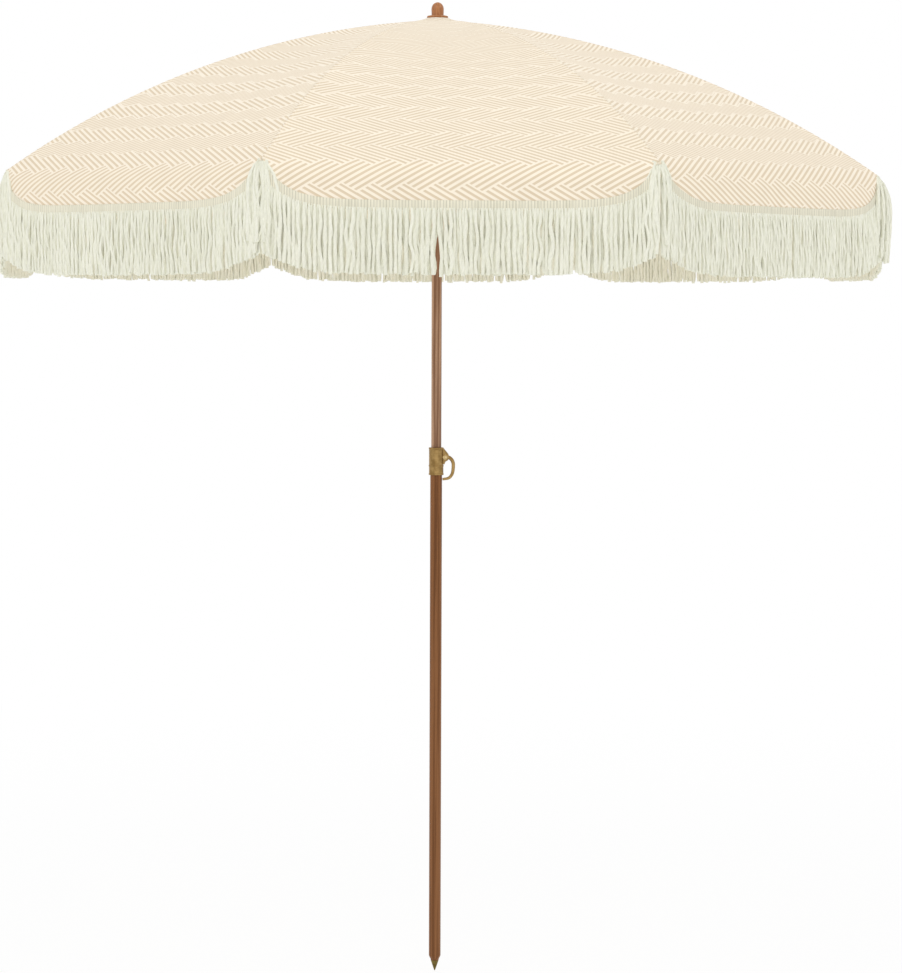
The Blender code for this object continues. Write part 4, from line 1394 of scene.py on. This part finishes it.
@dataclass
class Fringe:
    """Header tape along the hem, two rows of twisted cords that hang from it, and a tassel at each rib tip.

    loose_tassels holds a panel, its end (-1 or 1) and how far out that tassel stands. partings holds a
    panel, a place along its rim and how far the cords lean away from it. A pair holds the least and the
    most of a random value, or its mean and its deviation where the name ends in tone.
    """

    tape_height: float = 0.017
    tape_overlap: float = 0.003
    tape_thick: float = 0.0034
    tape_out: float = 0.3
    tape_swell: float = 0.5
    tape_tone: Pair = (0.45, 0.18)
    rib_pitch: float = 0.0063
    rib_least: float = 0.55
    rib_steps: int = 4
    tape_sides: int = 10
    steepest: float = 0.55
    hem_inset: float = 0.002
    hem_points: int = 1201
    cord_pitch: float = 0.0108
    cord_spread: float = 0.12
    cord_r: float = 0.0044
    cord_sizes: Pair = (0.85, 1.12)
    cord_tone: Pair = (0.55, 0.15)
    oval: float = 0.09
    length: float = 0.1275
    length_spread: float = 0.0016
    root_inside: float = 0.005
    root_size: float = 0.75
    root_reach: float = 0.25
    foot_swell: float = 0.14
    foot_close: float = 0.2
    foot_power: int = 16
    corner_extra: float = 0.027
    corner_reach: float = 0.02
    corner_shift: Pair = (-0.004, 0.012)
    row_gap: float = 0.0062
    row_spread: float = 0.0012
    tassel: int = 11
    tassel_along: Pair = (-0.002, 0.012)
    tassel_down: Pair = (-0.002, 0.012)
    tassel_out: Pair = (0.002, 0.014)
    tassel_fan: Pair = (-0.003, 0.028)
    tassel_extra: float = 0.012
    loose_tassels: tuple[tuple[int, int, float], ...] = ((8, -1, 0.026), (7, 1, 0.016), (5, -1, 0.004))
    loose_share: Pair = (0.3, 1.0)
    loose_length: float = 1.1
    partings: tuple[tuple[int, float, float], ...] = (
        (6, -0.047, 0.006),
        (6, 0.225, 0.005),
        (5, 0.31, 0.004),
        (7, -0.2, 0.004),
    )
    parting_reach: float = 0.016
    tuft_start: float = 0.2
    tuft_pull: Pair = (0.0, 0.15)
    lean_spread: float = 0.0009
    lean_power: float = 1.3
    ease: float = 7.0
    gather: float = 0.3
    sway: float = 0.0017
    sway_waves: Pair = (1.0, 1.9)
    sway_from: float = 3.0
    twist: float = 0.2
    rings: int = 13
    ring_sides: int = 5
    ring_spread: float = 0.12
    tape_seed: int = 411
    cord_seed: int = 2877
    # The tape's grooves lie between its ribs, where a fifth of painted shade darkens it.
    tape: TwistedCotton = TwistedCotton(
        "sage_header_tape", (0.7, 0.67, 0.525), (0.9, 0.86, 0.7), 0.0063, 0.0, 0.2
    )
    yarn: TwistedCotton = TwistedCotton("sage_cotton_yarn", (0.78, 0.78, 0.648), (0.882, 0.877, 0.764))

    def hem(self, canopy: Canopy) -> tuple[np.ndarray, np.ndarray, np.ndarray]:
        """The hem's line, measured along its length.

        Args:
            canopy: Cloth that the fringe hangs from.

        Returns:
            Lengths along the hem, places along the rim, and the hem's slopes.
        """
        y = (canopy.rim_half - self.hem_inset) * crowded(self.hem_points)
        down = canopy.depth(y)
        steps = np.hypot(np.diff(y), np.diff(down))
        return np.concatenate([[0], np.cumsum(steps)]), y, np.gradient(down, y)

    def tape_depth(self, slope: np.ndarray) -> np.ndarray:
        """Height of the tape measured straight down, which keeps its width on all but the steepest hem."""
        return self.tape_height / np.maximum(1 / np.sqrt(1 + slope**2), self.steepest)

    def header(self, canopy: Canopy, number: int) -> Patch:
        """Ribbed tape: a flat oval section carried along the hem, thickened once for every rib.

        At the angle b and the length l the surface stands out from the cloth by
        thick (out + swell sin(b) (least + (1 - least) |cos(pi l / pitch)|)).

        Args:
            canopy: Cloth that the tape is sewn to.
            number: Panel 1 to 8.

        Returns:
            The closed band.
        """
        length, places, slopes = self.hem(canopy)
        ribs = round(length[-1] / self.rib_pitch)
        along = np.linspace(0, length[-1], self.rib_steps * ribs + 1)
        y = np.interp(along, length, places)[:, None]
        height = self.tape_depth(np.interp(along, length, slopes))[:, None]
        turn = np.linspace(0, TURN, self.tape_sides, endpoint=False)[None]
        down = canopy.depth(y) - self.tape_overlap + (height + self.tape_overlap) * (1 - np.cos(turn)) / 2
        wide = np.broadcast_to(y, down.shape)
        x, _ = canopy.hang(wide, down, number)
        crest = np.abs(np.cos(math.pi * along * ribs / length[-1]))[:, None]
        rib = self.rib_least + (1 - self.rib_least) * crest
        x = x + canopy.thick + self.tape_thick * (self.tape_out + self.tape_swell * np.sin(turn) * rib)
        points = turned_about_z(np.stack([x, wide, canopy.rim_z - down], -1), canopy.azimuth(number))
        columns = np.concatenate([turn, [[TURN]]], -1) / TURN
        uv = np.stack(np.broadcast_arrays(columns, along[:, None]), -1)
        rng = np.random.default_rng(self.tape_seed + number)
        mean, deviation = self.tape_tone
        tone = mean + deviation * rng.standard_normal(len(along))[:, None] + 0 * turn
        uv, tone = (np.concatenate([rows[:1], rows, rows[-1:]]) for rows in (uv, tone))
        return Patch(capped(points), wrap=True, uv=uv, marks={"tone": tone})

    def roots(self, canopy: Canopy, number: int, rng: np.random.Generator) -> np.ndarray:
        """Where each cord starts and how far it hangs.

        The two rows start at the tape's lower edge and the tassels at the rib tips. Towards a corner, at
        the distance d from it, the rows' cords get longer by extra exp(-d / reach).

        Args:
            canopy: Cloth whose hem carries the fringe.
            number: Panel 1 to 8.
            rng: Source of the cords' differences.

        Returns:
            Rows of (outwards, along, down, outward shift, sideways fan, hanging length), one for each cord.
        """
        length, places, slopes = self.hem(canopy)
        count = 2 * round(length[-1] / self.cord_pitch)
        spots = (np.arange(count) + 0.5 + rng.normal(0, self.cord_spread, count)) / count * length[-1]
        y = np.interp(spots, length, places)
        down = canopy.depth(y) + self.tape_depth(np.interp(spots, length, slopes)) - self.root_inside
        corner = np.exp(-(canopy.rim_half - np.abs(y)) / self.corner_reach)
        shift = self.row_gap * (0.5 - np.arange(count) % 2) + rng.normal(0, self.row_spread, count)
        shift += corner * rng.uniform(*self.corner_shift, count)
        extent = self.length + self.corner_extra * corner + self.root_inside
        ends = np.repeat((-1, 1), self.tassel)
        tip_y = ends * (canopy.rim_half - rng.uniform(*self.tassel_along, len(ends)))
        tip_fan = -ends * rng.uniform(*self.tassel_fan, len(ends))
        tip_down = rng.uniform(*self.tassel_down, len(ends))
        tip_shift = rng.uniform(*self.tassel_out, len(ends))
        tip_extent = self.length + self.corner_extra + self.tassel_extra - tip_down
        for panel, end, further in self.loose_tassels:
            if panel == number:
                loose = (ends == end) * further * rng.uniform(*self.loose_share, len(ends))
                tip_shift = tip_shift + loose
                tip_extent = tip_extent + self.loose_length * loose
        y, down = np.concatenate([y, tip_y]), np.concatenate([down, tip_down])
        extent = np.concatenate([extent, tip_extent]) + rng.normal(0, self.length_spread, len(y))
        x, _ = canopy.hang(np.clip(y, -canopy.rim_half, canopy.rim_half), np.maximum(down, 0), number)
        fan = np.concatenate([0 * shift, tip_fan])
        return np.stack([x, y, down, np.concatenate([shift, tip_shift]), fan, extent], -1)

    def lean(self, y: np.ndarray, number: int, rng: np.random.Generator) -> np.ndarray:
        """Sideways lean of each cord's foot, towards its tuft's middle and away from the partings.

        At the distance d from a parting the cords lean away by width exp(-d / reach).

        Args:
            y: Places of the cords along the rim.
            number: Panel 1 to 8.
            rng: Source of the tufts.

        Returns:
            Distances along the rim.
        """
        tuft = np.empty(len(y), int)
        tuft[np.argsort(y)] = np.cumsum(rng.random(len(y)) < self.tuft_start)
        middle = np.bincount(tuft, y)[tuft] / np.maximum(np.bincount(tuft)[tuft], 1)
        pull = rng.uniform(*self.tuft_pull, tuft.max() + 1)[tuft]
        lean = (middle - y) * pull + rng.normal(0, self.lean_spread, len(y))
        for panel, place, width in self.partings:
            if panel == number:
                lean += np.sign(y - place) * width * np.exp(-np.abs(y - place) / self.parting_reach)
        return lean

    def fullness(self, t: np.ndarray) -> np.ndarray:
        """Share of the radius: (root + (1 - root) min(1, t / reach)) (1 + swell t^2 - close t^power)."""
        root = self.root_size + (1 - self.root_size) * np.minimum(1, t / self.root_reach)
        return root * (1 + self.foot_swell * t**2 - self.foot_close * t**self.foot_power)

    def strands(self, canopy: Canopy, number: int) -> Patch:
        """Hanging cords: an oval ring that turns, carried down each cord's line.

        At share t of a cord, with e = 1 - exp(-ease t), the line is its root, moved outwards by
        shift e (1 - gather t), sideways by fan e and lean t^power, both ways by a slow sway, and lowered by
        length t.

        Args:
            canopy: Cloth whose hem carries the fringe.
            number: Panel 1 to 8.

        Returns:
            One closed grid for each cord.
        """
        rng = np.random.default_rng(self.cord_seed + number)
        x0, y0, down, shift, fan, extent = self.roots(canopy, number, rng).T[..., None]
        cords = len(y0)
        lean = self.lean(y0[:, 0], number, rng)[:, None]
        even = np.linspace(0, 1, self.rings - 2)[None]
        t = even + rng.uniform(-self.ring_spread, self.ring_spread, (cords, 1)) * np.sin(math.pi * even)
        phase = rng.uniform(0, TURN, (2, cords, 1))
        swing = rng.normal(0, self.sway, (2, cords, 1))
        along, out = swing * np.sin(TURN * t * rng.uniform(*self.sway_waves, (2, cords, 1)) + phase)
        eased = 1 - np.exp(-self.ease * t)
        x = x0 + canopy.thick + shift * eased * (1 - self.gather * t) + out * t
        y = y0 + fan * eased + lean * t**self.lean_power + along * np.minimum(1, self.sway_from * t)
        z = canopy.rim_z - down - extent * t
        turn = np.linspace(0, TURN, self.ring_sides, endpoint=False)
        angle = (rng.uniform(0, TURN, (cords, 1)) + t * extent * TURN / self.twist)[..., None] + turn
        size = self.cord_r * rng.uniform(*self.cord_sizes, (cords, 1)) * self.fullness(t)
        wide = size[..., None] * (1 + self.oval * np.cos(2 * turn))
        x, y, z = x[..., None] + wide * np.cos(angle), y[..., None] + wide * np.sin(angle), z[..., None]
        ring = np.stack(np.broadcast_arrays(x, y, z), -1)
        ends = np.broadcast_to(ring.mean(2, keepdims=True), ring.shape)
        points = np.concatenate([ends[:, :1], ring, ends[:, -1:]], 1)
        around = np.linspace(0, 1, self.ring_sides + 1)[None, None]
        travel = (np.concatenate([t[:, :1], t, t[:, -1:]], 1) * extent)[..., None]
        uv = np.stack(np.broadcast_arrays(around, travel), -1)
        tone = rng.normal(*self.cord_tone, (cords, 1, 1)) + np.zeros(points.shape[:3])
        return Patch(turned_about_z(points, canopy.azimuth(number)), wrap=True, uv=uv, marks={"tone": tone})


@dataclass
class Studio:
    """Camera at the photograph's place, soft light, and a white floor that keeps the shadow.

    lamps holds each lamp's place, width, height and power.
    """

    place: Triple = (-0.322, -6.43076, 1.6)
    yaw: float = 0.0555
    pitch: float = -0.06773
    roll: float = 0.0035
    focal_pixels: float = 2722.9
    floor_reach: float = 150.0
    floor_z: float = -0.0006
    floor_tone: Colour = (0.9, 0.9, 0.9)
    floor_roughness: float = 0.9
    ambient: float = 0.64
    white_share: float = 0.94
    bounce: float = 1.0
    shadow_reach: Pair = (0.8, 4.5)
    lamps: tuple[tuple[Triple, float, float, float], ...] = (
        ((-2.6, -2.7, 5.2), 3.2, 3.2, 66.0),
        ((3.2, -2.4, 4.8), 3.0, 3.0, 50.0),
        ((0.4, 3.6, 4.2), 3.0, 3.0, 38.0),
        ((-1.3, -7.2, 1.2), 1.2, 2.2, 9.0),
        ((1.5, -7.2, 1.2), 1.2, 2.2, 9.0),
    )
    aim: Triple = (0.0, 0.2, 1.7)

    def camera(self) -> None:
        """Make the camera, with its long side fitted to the sensor."""
        data = bpy.data.cameras.new("camera")
        data.sensor_width = SENSOR
        data.lens = self.focal_pixels * SENSOR / max(PHOTO_SIZE)
        camera = bpy.data.objects.new("camera", data)
        level = math.cos(self.pitch)
        ahead = Vector((math.sin(self.yaw) * level, math.cos(self.yaw) * level, math.sin(self.pitch)))
        camera.location = self.place
        camera.rotation_mode = "QUATERNION"
        camera.rotation_quaternion = ahead.to_track_quat("-Z", "Y") @ Quaternion((0, 0, 1), self.roll)
        bpy.context.scene.collection.objects.link(camera)
        bpy.context.scene.camera = camera

    def light(self) -> None:
        """Make the soft lamps, all turned to the canopy."""
        for number, (place, wide, tall, power) in enumerate(self.lamps, 1):
            data = bpy.data.lights.new(f"softbox_{number}", "AREA")
            data.shape = "RECTANGLE"
            data.size = wide
            data.size_y = tall
            data.energy = power
            lamp = bpy.data.objects.new(f"softbox_{number}", data)
            lamp.location = place
            lamp.rotation_euler = (Vector(self.aim) - Vector(place)).to_track_quat("-Z", "Y").to_euler()
            bpy.context.scene.collection.objects.link(lamp)

    @staticmethod
    def _seen(graph: Graph) -> Socket:
        """Whether a ray comes from the camera, or is sent on by gloss or glass.

        Args:
            graph: Node tree to add to.

        Returns:
            1 for such rays and 0 for others.
        """
        rays = graph.node("ShaderNodeLightPath", {}).outputs
        direct = graph.math("MAXIMUM", rays["Is Camera Ray"], rays["Is Glossy Ray"])
        return graph.math("MAXIMUM", direct, rays["Is Transmission Ray"])

    def surroundings(self) -> None:
        """Make the world: white where it is seen, and an even soft light for the rest."""
        world = bpy.data.worlds.new("studio")
        bpy.context.scene.world = world
        graph = Graph(world)
        soft = graph.tree.nodes["Background"]
        graph.put(soft.inputs["Color"], WHITE)
        graph.put(soft.inputs["Strength"], self.ambient)
        white = graph.node("ShaderNodeBackground", {"Color": WHITE})
        graph.choose(self._seen(graph), soft, white, "World Output")

    def floor_finish(self) -> Material:
        """Floor that glows white, a little less where it is seen near the umbrella, so that a shadow shows.

        Returns:
            The material.
        """
        graph = Graph.of_material("pale_floor")
        place = graph.node("ShaderNodeTexCoord", {}).outputs["Object"]
        reach = graph.node("ShaderNodeVectorMath", {0: place}, operation="LENGTH").outputs["Value"]
        fade = graph.between(reach, *self.shadow_reach, self.white_share, 1.0)
        share = graph.between(self._seen(graph), 0.0, 1.0, self.bounce, fade)
        graph.choose(share, graph.shader, graph.node("ShaderNodeEmission", {}), "Material Output")
        return graph.finish(base_color=self.floor_tone, roughness=self.floor_roughness,
                            specular_ior_level=0.0)

    def floor(self) -> None:
        """Make the floor, whose shadows stay faintly visible."""
        side = np.linspace(-self.floor_reach, self.floor_reach, 3)
        x, y = np.meshgrid(side, side, indexing="ij")
        mesh = make_mesh("floor", [Patch(np.stack([x, y, np.full(x.shape, self.floor_z)], -1))], False)
        mesh.materials.append(self.floor_finish())
        floor = bpy.data.objects.new("floor", mesh)
        bpy.context.scene.collection.objects.link(floor)

    def build(self) -> None:
        """Set the stage."""
        bpy.context.scene.view_settings.view_transform = "Standard"
        self.camera()
        self.light()
        self.surroundings()
        self.floor()
        LOG.info("studio set")


def main() -> None:
    """Build the stage and every sub-assembly in order."""
    logging.basicConfig(level=logging.INFO, format="%(message)s")
    Studio().build()
    Pole().build()
    Clamp().build()
    RibFrame().build()
    Canopy().build(Fringe())


if __name__ == "__main__":
    main()
